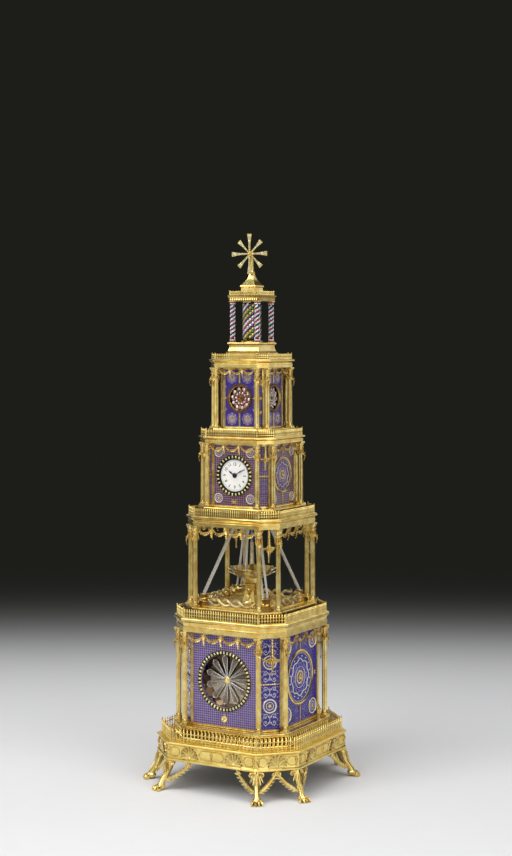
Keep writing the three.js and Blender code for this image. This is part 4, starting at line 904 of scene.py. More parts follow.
def roundel(work, wall, radius, ground="deep_blue"):
    """A small medallion: pale rim, deep ground with a pearled circle, and a cream flower."""
    work.set(ring_of(radius * 0.84, radius, 1.3, 36), "white_enamel", wall)
    work.gild(ring_of(radius, radius * 1.07, 1.5, 36), wall)
    work.set(disc_of(radius * 0.9, 0.5, 36), ground, wall)
    work.set(ring_of(radius * 0.5, radius * 0.6, 0.9, 28), "white_enamel", wall)
    for i in range(14):
        place = wall @ about("Z", math.tau * i / 14) @ at(radius * 0.72, 0, 0.5)
        work.set(bead, "lavender_enamel", place @ sized(radius * 0.06, radius * 0.06, radius * 0.05))
    work.set(rosette_flower, "cream_enamel", wall @ at(0, 0, 0.4) @ sized(radius * 0.44, radius * 0.44, 2.2))
    work.gild(bead, wall @ at(0, 0, 1.0) @ sized(radius * 0.14, radius * 0.14, radius * 0.1))


def medallion(work, wall, radius, ground, pale):
    """A large round medallion: bright rim, deep ground, lobed pale bands and a gilt flower."""
    work.set(disc_of(radius, 0.6, 64), ground, wall)
    work.gild(ring_of(radius * 0.95, radius * 1.03, 2.4, 64), wall)
    thick = radius / 52
    bands = ((0.915, 0, 0, 0.7, "cream_enamel"), (0.66, 8, 0.08, 1.1, pale),
             (0.55, 8, -0.08, 0.65, "lavender_enamel"), (0.4, 0, 0, 0.7, pale),
             (0.32, 8, 0.12, 0.55, "lavender_enamel"))
    for share, lobes, swell, width, finish in bands:
        count = max(24, lobes * 6)
        points = []
        for i in range(count):
            a = math.tau * i / count
            r = radius * share * (1 + swell * math.cos(lobes * a))
            points.append((r * math.cos(a), r * math.sin(a), 0.6))
        work.set(strand(points, width * thick, 4, cyclic=True, steps=1), finish, wall)
    for count, share, size, finish in ((16, 0.78, 0.03, pale), (16, 0.47, 0.026, "lavender_enamel"),
                                       (32, 0.9, 0.014, "gilding")):
        for i in range(count):
            place = wall @ about("Z", math.tau * (i + 0.5) / count) @ at(radius * share, 0, 0.6)
            work.set(bead, finish, place @ sized(radius * size, radius * size, radius * size * 0.7))
    work.set(ring_of(radius * 0.19, radius * 0.26, 1.2, 32), "cream_enamel", wall)
    work.gild(rosette_flower, wall @ at(0, 0, 0.6) @ sized(radius * 0.22, radius * 0.22, 6))
    work.gild(bead, wall @ at(0, 0, 1.8) @ sized(radius * 0.08, radius * 0.08, 1.6))


def scrollwork(work, wall, width, height, finish):
    """An upright arabesque: a stem of leaves and pearls with paired scrolls that fills a panel."""
    tiers = max(1, round(height / width))
    for tier in range(tiers):
        for my in (-1, 1):
            rise = height * (tier + 0.5) / tiers
            curl = min(width * 0.42, height * 0.5 / tiers)
            flip = 0 if my > 0 else math.pi
            for mx in (-1, 1):
                points = []
                for i in range(14):
                    t = i / 13
                    a = math.pi * 1.1 - t * math.tau * 1.2
                    r = curl * (1 - 0.8 * t)
                    points.append((mx * (width * 0.48 + r * math.cos(a)), my * (rise + r * math.sin(a)), 0.3))
                work.set(strand(points, [0.55 - 0.2 * i / 13 for i in range(14)], 4, steps=2), finish, wall)
                for i, lean in ((4, 0.7), (7, 2.2)):
                    x, y, _ = points[i]
                    work.set(leaf, finish, wall @ at(x, y, 0.2) @ about("Z", flip - lean * mx)
                             @ sized(1.8, curl * 0.6, 1.6))
                work.set(bead, finish, wall @ at(mx * width * 0.48, my * rise, 0.3) @ sized(1.0, 1.0, 0.7),
                         wall @ at(mx * width * 0.9, my * (rise + curl * 0.8), 0.3) @ sized(0.8, 0.8, 0.6),
                         wall @ at(mx * width * 0.9, my * (rise - curl * 0.8), 0.3) @ sized(0.8, 0.8, 0.6))
            for lean in (-0.5, 0.0, 0.5):
                work.set(leaf, finish, wall @ at(0, my * (rise - curl * 0.6), 0.2)
                         @ about("Z", lean + flip) @ sized(1.8, curl * 1.1, 1.6))
            work.set(bead, finish, wall @ at(0, my * (rise - curl * 0.8), 0.3) @ sized(1.0, 1.0, 0.7))


def star_flower(work, wall, radius):
    """An open flower of eight looped petals drawn in pale enamel lines, with gilt points."""
    for i in range(8):
        petal = wall @ about("Z", math.tau * i / 8)
        for reach, wide, finish in ((1.0, 0.24, "lavender_enamel"), (0.62, 0.12, "cream_enamel")):
            loop = []
            for j in range(8):
                a = math.tau * j / 8
                rise = 0.22 + (reach - 0.22) * (0.5 - 0.5 * math.cos(a))
                loop.append((wide * radius * math.sin(a), radius * rise, 0.3))
            work.set(strand(loop, 0.5, 4, cyclic=True, steps=2), finish, petal)
        work.gild(bead, petal @ at(0, radius * 0.78, 0.3) @ sized(0.7, 1.0, 0.6))
        work.set(bead, "lavender_enamel", petal @ about("Z", math.pi / 8) @ at(0, radius * 0.95, 0.2)
                 @ sized(0.7, 0.7, 0.5))
    work.gild(rosette_flower, wall @ at(0, 0, 0.2) @ sized(radius * 0.22, radius * 0.22, 3.0))


def panel_frame(work, turn, reach, away, low, high):
    """Gilt strips along the edges of a panel."""
    middle = (low + high) / 2
    for side in (-1, 1):
        work.bar(on_wall(turn, away, side * (reach - 1.3), middle), 2.6, high - low, 1.4)
        work.bar(on_wall(turn, away, side * (reach - 3.9), middle), 0.7, high - low - 5, 0.7)
    for z in (low + 1.3, high - 1.3):
        work.bar(on_wall(turn, away, 0, z), 2 * reach, 2.6, 1.4)
    for z in (low + 3.9, high - 3.9):
        work.bar(on_wall(turn, away, 0, z), 2 * reach - 8, 0.7, 0.7)


def rope(work, turn, away, z, left, right, radius):
    """A level twisted seam."""
    span = right - left
    mesh = drawn(lobed(3, 0.72, share=3), [(span * i / 24, radius, i * math.tau / 8) for i in range(25)])
    work.gild(mesh, turn @ at(left, -away - radius * 0.5, z) @ about("Y", QUARTER))


def jewel_ring(work, wall, radius, width, count, finish, rim, stone, share):
    """A raised ring set with stones that point to its middle."""
    work.set(ring_of(radius - width / 2, radius + width / 2, 2.4, 64), rim, wall)
    for edge in (radius - width / 2, radius + width / 2):
        work.gild(ring_of(edge - 0.5, edge + 0.5, 2.7, 64), wall)
    across = math.tau * radius / count * share
    for i in range(count):
        place = wall @ about("Z", math.tau * i / count) @ at(radius, 0, 1.7)
        work.set(stone, finish, place @ sized(width * 0.66, across, 3.0))


# Operators

class CLOCK_OT_finishes(bpy.types.Operator):
    """Mixes the gildings, enamels, pastes and glass"""

    bl_idname = "clock.finishes"
    bl_label = "Mix finishes"

    def execute(self, context):
        c = context.scene.clock_colours

        def tone(code):
            return linear(code) if code.startswith("#") else getattr(c, code)

        for key, (name, bright, shade, hollow, *rest) in METALS.items():
            FINISH[key] = metal(name, tone(bright), tone(shade), tone(hollow), *rest)
        # Enamelled cases: glass over a net of gilt wire or a sunburst, so fine that it reads as a tint
        gold = linear("#C2A678")
        dot = linear("#2A1C66")
        upper = linear("#33207C")
        FINISH["lower_enamel"] = wall_enamel("violet_and_blue_enamel_lower", LOWER.middle, c.lilac, dot,
                                             c.blue, c.lavender, gold, 4.5, 9)
        FINISH["clock_enamel"] = wall_enamel("violet_and_blue_enamel_clock", CLOCK.middle, linear("#6E4C76"),
                                             linear("#2C1440"), c.blue, c.lavender, gold, 4.4, 7, ALL_SIDES)
        FINISH["upper_enamel"] = wall_enamel("violet_blue_enamel_upper", UPPER.middle, upper, upper, upper,
                                             c.lavender, upper, 3.4, 6)
        for key, (name, ground, shade, pool) in ENAMELS.items():
            FINISH[key] = fired_enamel(name, tone(ground), tone(shade), pool)
        FINISH["glass"] = clear_glass()
        FINISH["ground_glass"] = ground_glass()
        for key, (name, silvering, silver, brown, *rest) in MIRRORS.items():
            FINISH[key] = mirror(name, silvering, tone(silver), tone(brown), *rest)
        for name, code in PASTES.items():
            FINISH[name] = paste_stone(name, linear(code))
        return {"FINISHED"}


class CLOCK_OT_base(bpy.types.Operator):
    """Builds the plinth with its shells, the fence on it and the four pairs of legs"""

    bl_idname = "clock.base"
    bl_label = "Build plinth and legs"

    def execute(self, context):
        sizes = context.scene.clock_sizes
        work = Work()
        moulding = [(-4, 88), (-4, 57.5), (-3, 57), (2, 57), (3, 58.2), (3, 60.4), (1.7, 61.6), (0.4, 62.4),
                    (0, 63.2), (0, 86), (0.6, 87), (2.0, 87.8), (3.4, 88.9), (3.5, 91.3), (3, 92)]
        # Painted light: the plinth's body takes the matt gilding, painted paler to stand for the stronger
        # light on it
        work.set(moulded(moulding, PLINTH_FACE, PLINTH_HALF), "matt_gilding_painted_bright")
        # Painted shade: a dark board closes the hollow under the plinth's top, to darken the shadow beneath
        # it
        work.set(moulded([(-4.2, 87.2), (-4.2, 87.9)], PLINTH_FACE, PLINTH_HALF), "dark_board_painted_shade")
        for k, turn, away, reach in sides(PLINTH_FACE, PLINTH_HALF):
            broad = k % 2 == 0
            spot = panel_places(turn, away, PLINTH_MIDDLE)
            for along in ((-49, 49) if broad else (0,)):
                shell(work, spot(along, 0), 13)
            if broad:
                cartouche(work, spot(0, 0), 27, 8.6)
                vase(work, spot(0, 0), 19)
            for side in (-1, 1):
                vase(work, spot(side * (reach - 4.5), 0), 19)
                half_panel = spot(side * (reach - 15 if broad else 29), 0)
                cartouche(work, half_panel, 11.5 if broad else 9.4, 8.6)
        work.done("plinth_body", "plinth_case")
        fence = Work()
        gallery(fence, 153, 95.93, 92.2, 26, sizes.fence_pitch / MM, (0.03, 0.22, 0.68), 1.45)
        fence.done("plinth_fence", "plinth_gallery")
        for i, corner in enumerate(("front_right", "back_right", "back_left", "front_left")):
            pair = Work()
            for which, (x, y) in enumerate(((94.69, -150.0), (150.0, -94.69))):
                leg(pair, about("Z", i * QUARTER), x, y, which)
            pair.done("leg_pair_" + corner, "legs_" + corner)
        return {"FINISHED"}


def leg(work, turn, x, y, which):
    """A cabriole leg with a beaded spine, leafy knee and paw, and its two leafy scroll brackets."""
    out = Vector((x, y, 0)).normalized()
    stand = turn @ at(x, y, 0) @ about("Z", math.atan2(out.y, out.x))
    path = [(-1, 0, 56.8), (1, 0, 55), (4.5, 0, 50), (6, 0, 43), (8, 0, 36), (12, 0, 29), (17, 0, 22),
            (21, 0, 15), (24, 0, 8)]
    work.gild(strand(path, [9.5, 9.5, 9.2, 8, 6.6, 5.8, 5.4, 5.8, 7.4], 12), stand)
    work.gild(block, stand @ at(0, 0, 55.6) @ sized(20, 22, 2.4))
    for i in range(12):
        t = i / 11
        bulge = 3.0 * math.sin(math.pi * t)
        work.gild(bead, stand @ at(13.6 + 12.6 * t - bulge, 0, 47 - 29 * t) @ sized(1.6, 1.6, 1.6))
    for side in (-1, 1):
        curl = [(3 + 1.5 * i / 10, side * (10 + 4.2 * (1 - 0.07 * i) * math.sin(i * 0.75)),
                 50 + 4.2 * (1 - 0.07 * i) * math.cos(i * 0.75)) for i in range(11)]
        work.gild(strand(curl, [2.2 - 0.1 * i for i in range(11)], 6), stand)
    for lean in (-1.0, -0.5, 0.0, 0.5, 1.0):
        place = stand @ at(6.5, 3.6 * lean, 52) @ about("Z", QUARTER + lean * 0.5) @ FACING
        work.gild(leaf, place @ at(0, 0, 7.4 - abs(lean)) @ about("Z", math.pi + lean * 0.35)
                  @ about("X", 0.1) @ sized(7.5, 22 - 6 * abs(lean), 8))
    work.gild(bead, stand @ at(23.5, 0, 7) @ sized(10, 9.4, 7))
    for toe in (-1.5, -0.5, 0.5, 1.5):
        place = stand @ at(22, 0, 0) @ about("Z", toe * 0.26) @ at(11.4, toe * 2.9, 4.6)
        work.gild(bead, place @ sized(6.4, 3.0, 4.6))
        work.gild(bead, place @ at(-4.5, 0, 2.6) @ sized(4.6, 2.7, 3.2))
        work.gild(bead, place @ at(4.6, 0, -2.2) @ sized(2.8, 1.6, 2.2))
    sideways = Vector((-1, 0, 0)) if which == 0 else Vector((0, 1, 0))
    corner = Vector((x, y, 0))
    foot = corner + out * 16.5 + Vector((0, 0, 17))
    for end in (corner + sideways * 42 + Vector((0, 0, 52.5)), Vector((122.3, -122.3, 52.5))):
        belly = end.lerp(foot, 0.45) - Vector((0, 0, 11))
        points = [foot.lerp(belly, t).lerp(belly.lerp(end, t), t) for t in [i / 8 for i in range(9)]]
        work.gild(strand(points, [2.6, 2.9, 3.3, 3.6, 3.8, 3.8, 3.6, 3.2, 2.6], 8), turn)
        level = ((end - foot) * Vector((1, 1, 0))).normalized()
        curl = [end + level * (-5 + 5.4 * (1 - 0.06 * i) * math.sin(i * 0.75))
                + Vector((0, 0, -3.2 + 5.4 * (1 - 0.06 * i) * math.cos(i * 0.75))) for i in range(12)]
        work.gild(strand(curl, [2.8 - 0.13 * i for i in range(12)], 6), turn)
        outward = Vector((level.y, -level.x, 0))
        outward = outward if outward.dot(out) > 0 else -outward
        for i in range(1, 8):
            direction = (points[i + 1] - points[i]).normalized()
            for lift in (-1, 1):
                tip = direction + Vector((0, 0, lift * 0.6))
                work.gild(leaf, turn @ aimed(points[i] + outward * 1.9, tip, outward, (6.4, 10.5, 4.6)))


class CLOCK_OT_storeys(bpy.types.Operator):
    """Builds the podiums, fluted columns, cornices and pierced galleries of the four storeys"""

    bl_idname = "clock.storeys"
    bl_label = "Build storeys"

    def execute(self, context):
        sizes = context.scene.clock_sizes
        for name, s in STOREYS.items():
            work = Work()
            low, high = s.base + 4.2, s.floor - 5.4
            # Painted shade: above the lowest storey the podium's foot and balusters are dark gilding, the
            # shade seen through the gallery below
            edging = "gilding" if name == "lower" else "recess"
            foot = [(7.6, 0), (8.5, 0.6), (8.5, 2.6), (7.8, 3.4), (7.4, 4.2)]
            work.set(moulded(raised(foot, s.base), s.face, s.half), edging)
            # Painted shade: a dark band set back behind the balusters
            work.set(moulded([(4.6, low - 0.4), (4.6, high + 0.4)], s.face, s.half), "recess")
            work.gild(moulded([(7.4, high), (8.0, high + 1), (8.5, s.floor - 3.6), (8.5, s.floor - 2),
                               (7.4, s.floor - 1.2), (7, s.floor)], s.face, s.half))
            for _, turn, away, reach in sides(s.face + 6.2, s.half + 6.2 * MITRE):
                pitch = sizes.baluster_pitch / MM * (1 if name == "lower" else 1.2)
                girth = 1.8 if name == "lower" else 1.0
                count = max(3, round(2 * reach / pitch))
                work.set(baluster, edging, *[
                    turn @ at(-reach + (i + 0.5) * 2 * reach / count, -away, low - 0.1)
                    @ sized(girth, girth, high - low + 0.2) for i in range(count)])
            pillar = column(s.radius, s.head - s.floor, sizes.flutes)
            work.gild(pillar, *[at(x, y, s.floor) for x, y in plan(s.face, s.half)])
            if name == "fountain":
                for i in range(4):
                    rod_stand(work, about("Z", i * QUARTER))
            work.done(name + "_columns", name + "_colonnade")
            top = Work()
            low = s.head + GAP
            tall = s.cornice - low
            steps = ((4.0, 0), (4.0, 0.15), (4.6, 0.17), (4.6, 0.34), (5.3, 0.37), (5.3, 0.41), (3.6, 0.43),
                     (3.6, 0.56), (4.2, 0.6), (5.0, 0.68), (6.2, 0.73), (7.9, 0.76), (8.5, 0.79),
                     (8.5, 0.93), (8.1, 0.95), (7.8, 1))
            top.gild(moulded([(o, low + t * tall) for o, t in steps], s.face, s.half))
            # Painted shade: a dark strip on the cornice's top, seen between the gallery's bars
            top.set(moulded([(1, s.cornice - 0.4), (1, s.cornice + 0.1)], s.face, s.half), "recess")
            coarse = max(1.0, s.face / CLOCK.face) ** 0.75
            gallery(top, s.face + 4, s.half + 4 * MITRE, s.cornice - 0.2, s.rail * 0.95,
                    sizes.picket_pitch / MM * coarse, stout=coarse)
            top.done(name + "_cornice", name + "_entablature")
        return {"FINISHED"}


def rod_stand(work, turn):
    """A winged serpent coiled round a bronze rock, that holds a pair of corner rods."""
    stand = turn @ at(ROD_FOOT, -ROD_FOOT, 348.0) @ about("Z", math.pi / 4)
    section = [(11.5, 7), (-11.5, 7), (-11.5, -7), (11.5, -7)]
    rock = [(0, 1.2, 0), (3, 1.1, 0), (6, 0.9, 0.1), (13, 0.68, 0), (18, 0.72, 0), (22, 0.84, 0)]
    work.set(drawn(section, rock), "bronze", stand)
    for side in (-1, 1):
        coil = [(side * (12.5 - 0.4 * i) * math.cos(i * 0.8), 9.5 * math.sin(i * 0.8), 3 + i * 1.4)
                for i in range(13)]
        work.gild(strand(coil, [1.0 + 0.15 * i for i in range(10)] + [2.4, 2.2, 1.4], 8), stand)
        for i in range(5):
            place = stand @ at(side * 7, -4, 9) @ about("Y", side * (0.35 + 0.3 * i)) @ about("X", 0.35)
            work.gild(leaf, place @ about("X", QUARTER) @ sized(5, 17 - 1.6 * i, 4))
        work.gild(bead, stand @ at(side * ROD_APART, -1, 20.5) @ sized(3.4, 4.6, 2.6))
        work.gild(ring_of(2.6, 3.8, 2.4, 16), stand @ at(side * ROD_APART, 0, 20.6))


class CLOCK_OT_garlands(bpy.types.Operator):
    """Hangs the swags, husk chains and trophies under each cornice"""

    bl_idname = "clock.garlands"
    bl_label = "Hang garlands"

    def execute(self, context):
        size = context.scene.clock_sizes.leaf / MM
        for name, s in STOREYS.items():
            work = Work()
            scale = size * (0.75 if name in ("clock", "upper") else 1.0)
            tall = s.head - s.floor
            for k, turn, away, reach in sides(s.face - 1, s.half - MITRE):
                clear = reach - 1.1 * s.radius
                wall = on_wall(turn, away, 0, s.head - 0.4 * scale)
                if k % 2 == 0:
                    bay = 2 * clear / s.swags
                    for i in range(s.swags):
                        swag(work, wall, -clear + i * bay, -clear + (i + 1) * bay, bay * 0.36, scale)
                    for i in range(1, s.swags):
                        drop(work, wall @ at(-clear + i * bay, -0.4 * scale, 0), bay * 0.4, scale)
                else:
                    for side in (-1, 1):
                        lower = wall @ at(0, -tall * 0.19, 0.4)
                        swag(work, lower, *sorted((0, side * clear)), clear * 0.3, scale * 0.8)
                    trophy(work, wall @ at(0, 0.2 * scale, 1), tall * 0.36, scale)
            for x, y in plan(s.face, s.half):
                neck = at(x, y, s.head - CAPITAL * s.radius)
                collar(work, neck, s.radius, math.atan2(x, -y), s.radius * 1.35)
            work.done(name + "_garlands")
        return {"FINISHED"}


class CLOCK_OT_panels(bpy.types.Operator):
    """Enamels the three cases and their doors, and sets the gilt mounts on them"""

    bl_idname = "clock.panels"
    bl_label = "Enamel panels"

    def execute(self, context):
        for name, s in (("lower", LOWER), ("clock", CLOCK), ("upper", UPPER)):
            for node in (name + "_case", name + "_door"):
                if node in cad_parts:
                    paint(node, name + "_enamel")
            work = Work()
            door = Work()
            for k, turn, away, reach in sides(s.wall, s.wall_half):
                panel_frame(work, turn, reach, away, s.floor + 0.6, s.head - 0.4)
                if k == 4 and name in DOORS:
                    self.door(door, name, turn, away - GAP)
                else:
                    getattr(self, name)(work, s, k, turn, away, reach)
            work.done(name + "_mounts")
            if name in DOORS:
                door.done(name + "_door_mounts", body=name + "_door")
        return {"FINISHED"}

    def lower(self, work, s, k, turn, away, reach):
        spot = panel_places(turn, away, s.middle)
        if k == 0:
            wall = on_wall(turn, away, 0, 137)
            work.gild(disc_of(6.4, 1.8, 28), wall)
            work.gild(rosette_flower, wall @ at(0, 0, 1.2) @ sized(6, 6, 5))
            work.bar(wall @ at(0, 0, 2.2), 1.2, 3.6, 0.5, "black")
            for y in (-8, 8):
                work.gild(leaf, wall @ at(0, y * 0.6, 0.3) @ about("Z", 0 if y > 0 else math.pi)
                          @ sized(3.4, 7, 3))
        elif k % 2:
            rope(work, turn, away, s.middle, -reach + 3, reach - 3, 1.7)
            for up in (-1, 1):
                roundel(work, spot(0, up * 42), 13.5)
                scrollwork(work, spot(0, up * 15), reach - 6, 11, "white_enamel")
                scrollwork(work, spot(0, up * 68), reach - 6, 12, "white_enamel")
        else:
            medallion(work, spot(0, 0), 52.6, "deep_blue", "white_enamel")
            for side in (-1, 1):
                for up in (-1, 1):
                    roundel(work, spot(side * 53, up * 66), 15.5)
            for up in (-1, 1):
                work.bar(spot(0, up * 71), 1.7, 34, 1.5)
                scrollwork(work, spot(0, up * 72), 32, 14, "lavender_enamel")
                work.gild(rosette_flower, spot(0, up * 60) @ sized(4, 4, 6))
            for side in (-1, 1):
                work.gild(rosette_flower, spot(side * 61, 0) @ sized(5, 5, 7))

    def clock(self, work, s, k, turn, away, reach):
        spot = panel_places(turn, away, s.middle)
        if k == 0:
            wall = on_wall(turn, away, 0, s.floor + 11)
            work.gild(rosette_flower, wall @ sized(4.6, 4.6, 6))
            for side in (-1, 1):
                for lean in (0.7, 1.4, 2.1):
                    work.gild(leaf, wall @ at(0, 0, 0.4) @ about("Z", side * lean) @ sized(2.6, 9, 3))
        elif k % 2:
            rope(work, turn, away, s.middle, -reach + 3, reach - 3, 1.3)
            for up in (-1, 1):
                scrollwork(work, spot(0, up * 28), reach - 4, 22, "lilac_enamel")
        else:
            medallion(work, spot(0, 0), 35.0, "violet_enamel", "cream_enamel")
            for up in (-1, 1):
                work.bar(spot(0, up * 49), 1.4, 24, 1.3)
        if k % 2 == 0:
            for side in (-1, 1):
                for up in (-1, 1):
                    roundel(work, spot(side * 36, up * 45), 9.2, "violet_enamel")

    def upper(self, work, s, k, turn, away, reach):
        spot = panel_places(turn, away, s.middle)
        if k % 2:
            for up in (-1, 0, 1):
                work.gild(rosette_flower, spot(0, up * 28) @ sized(4.2, 4.2, 5))
            return
        for up in (-1, 1):
            for side in (-1, 1):
                work.bar(spot(side * 0.9, up * 44), 1.0, 29, 1.2)
                star_flower(work, spot(side * 17.5, up * 41), 12.4)
                work.gild(leaf, spot(side * 29, up * 21)
                          @ about("Z", -side * up * 0.8 + (math.pi if up < 0 else 0)) @ sized(2.6, 6, 2.4))
            work.bar(spot(up * 32.5, 0), 6, 2.0, 1.3)
        ring = spot(0, 0)
        jewel_ring(work, ring, 24.9, 3.2, 40, "paste_umber", "bronze", round_stone, 0.32)
        work.set(ring_of(27.6, 28.8, 1.2, 48), "bronze", ring)
        if k == 4:
            work.set(disc_of(23, 1.0, 48), "rosette_mirror", ring)
            whirl(work, ring @ at(0, 0, 1.0), 1, ("paste_orange", "paste_garnet"), "paste_white")
        else:
            floor = on_wall(turn, away - 7.95, 0, s.middle)
            work.set(disc_of(22.6, 0.4, 48), "rosette_mirror", floor)
            work.set(ring_of(22.5, 22.9, 7.9, 48), "rosette_mirror", floor)

    def door(self, work, name, turn, away):
        middle, wide, tall = DOORS[name]
        spot = panel_places(turn, away, middle)
        for side in (-1, 1):
            work.bar(spot(side * (wide - 2), 0), 2.4, 2 * tall - 1.6, 1.1)
            work.bar(spot(0, side * (tall - 2)), 2 * wide - 1.6, 2.4, 1.1)
            for up in (-1, 1):
                roundel(work, spot(side * wide * 0.78, up * tall * 0.78), tall * 0.15)
        medallion(work, spot(0, 0), wide * 0.75, "deep_blue", "lavender_enamel")
        knob = [(0, 0), (2.4, 0), (1.2, 1.2), (1.1, 2.4), (2.2, 3.4), (1.8, 4.6), (0, 5)]
        work.gild(turned(knob, 16), spot(wide * 0.91, 0))


def paint(node, finish):
    """Gives a CAD node a finish."""
    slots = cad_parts[node].data.materials
    slots.clear()
    slots.append(FINISH[finish])


def whirl(work, wall, hand, finishes, brilliant):
    """Ten curved arms of gilt wire round a hub, each set with narrow stones and two brilliants."""
    inner, long, sweep = 3.6, 17.6, 1.25
    work.set(ring_of(1.9, 4.4, 1.6, 24), "bronze", wall)
    for arm in range(10):
        start = math.tau * arm / 10
        spine = []
        for i in range(8):
            t = i / 7
            reach, a = inner + long * t, start + hand * sweep * t
            spine.append((reach * math.cos(a), reach * math.sin(a), 0.55))
        work.gild(strand(spine, [0.55] * 8, 4, steps=2), wall)
        for i in range(6):
            t = (i + 0.6) / 6.2
            reach, a = inner + (long - 0.6) * t, start + hand * sweep * t
            place = wall @ about("Z", a) @ at(reach, 0, 0.5)
            if i in (2, 5):
                wide = 1.8 if i == 2 else 2.9
                work.set(round_stone, brilliant, place @ sized(wide, wide, 1.6))
            else:
                place = place @ about("Z", hand * math.atan2(sweep * reach, long))
                work.set(square_stone, finishes[i % 2], place @ sized(3.0, 1.4 + 1.9 * t, 2.4))


class CLOCK_OT_star(bpy.types.Operator):
    """Builds the jewelled window and the glass star that turns in it"""

    bl_idname = "clock.star"
    bl_label = "Build glass star"

    def execute(self, context):
        sizes = context.scene.clock_sizes
        middle = LOWER.middle
        ring = on_wall(Matrix(), LOWER.wall + GAP, 0, middle)
        bezel = Work()
        jewel_ring(bezel, ring, 55.4, 7.6, sizes.star_stones, "paste_pale", "setting", square_stone, 0.5)
        bezel.gild(ring_of(50.9, 52.0, 3.2, 64), ring)
        bezel.done("star_bezel", "lower_bezel")
        star = Work()
        hub = on_wall(Matrix(), 95.6, 0, middle)
        outline = [(5 + 43.5 * t, side * (1.0 + 6.4 * t ** 1.3) * math.sqrt(1 - max(0, t / 0.2 - 4) ** 2))
                   for side, shares in ((1, range(13)), (-1, range(11, -1, -1)))
                   for t in [i / 12 for i in shares]]
        blade = drawn(outline, [(0, 1, 0), (0.9, 1, 0)])
        for i in range(11):
            petal = hub @ about("Z", math.tau * i / 11)
            star.set(blade, "ground_glass", petal @ at(0, 0, -0.3))
            # Painted highlight: each petal's outer outline is white paste, standing for the light that its
            # glass edge catches
            for share, thick, finish in ((1.0, 0.48, "paste_white"), (0.5, 0.34, "glass")):
                loop = [(5 + (x - 5) * (0.55 + 0.45 * share), y * share, 1.0) for x, y in outline]
                star.set(strand(loop, thick, 4, cyclic=True, steps=2), finish, petal)
            star.set(bead, "paste_white", petal @ at(47.6, 0, 1.2) @ sized(1.5, 1.5, 1.1))
        boss = [(0, -1), (7, -1), (7.4, 1), (7, 3.0), (5.6, 3.8), (5.2, 4.6), (3.4, 5.4), (0, 5.8)]
        star.gild(turned(boss, 22), hub)
        star.set(round_stone, "paste_pale", hub @ at(0, 0, 5.0) @ sized(2.6, 2.6, 2.2))
        for i in range(11):
            star.gild(bead, hub @ about("Z", math.tau * i / 11) @ at(6.2, 0, 3.3) @ sized(0.9, 0.9, 0.9))
        arbor = on_wall(Matrix(), 17.5, 0, middle)
        star.set(turned([(0, 0), (2.5, 0), (2.5, 78), (0, 78)], 16), "steel", arbor)
        star.set(turned([(2.5, 17.8), (4.5, 17.8), (4.5, 20.5), (2.5, 20.5)], 16), "steel", arbor)
        star.set(drawn(lobed(6, 0.6, share=4), [(0, 8.0, 0), (4.4, 8.0, 0)]), "brass",
                 arbor @ about("Z", -QUARTER + math.pi / 6) @ at(0, 0, 0.3))
        star.done("glass_star_petals", "glass_star", body="glass_star", slot="clear_glass")
        paint("star_mirror", "star_mirror")
        return {"FINISHED"}


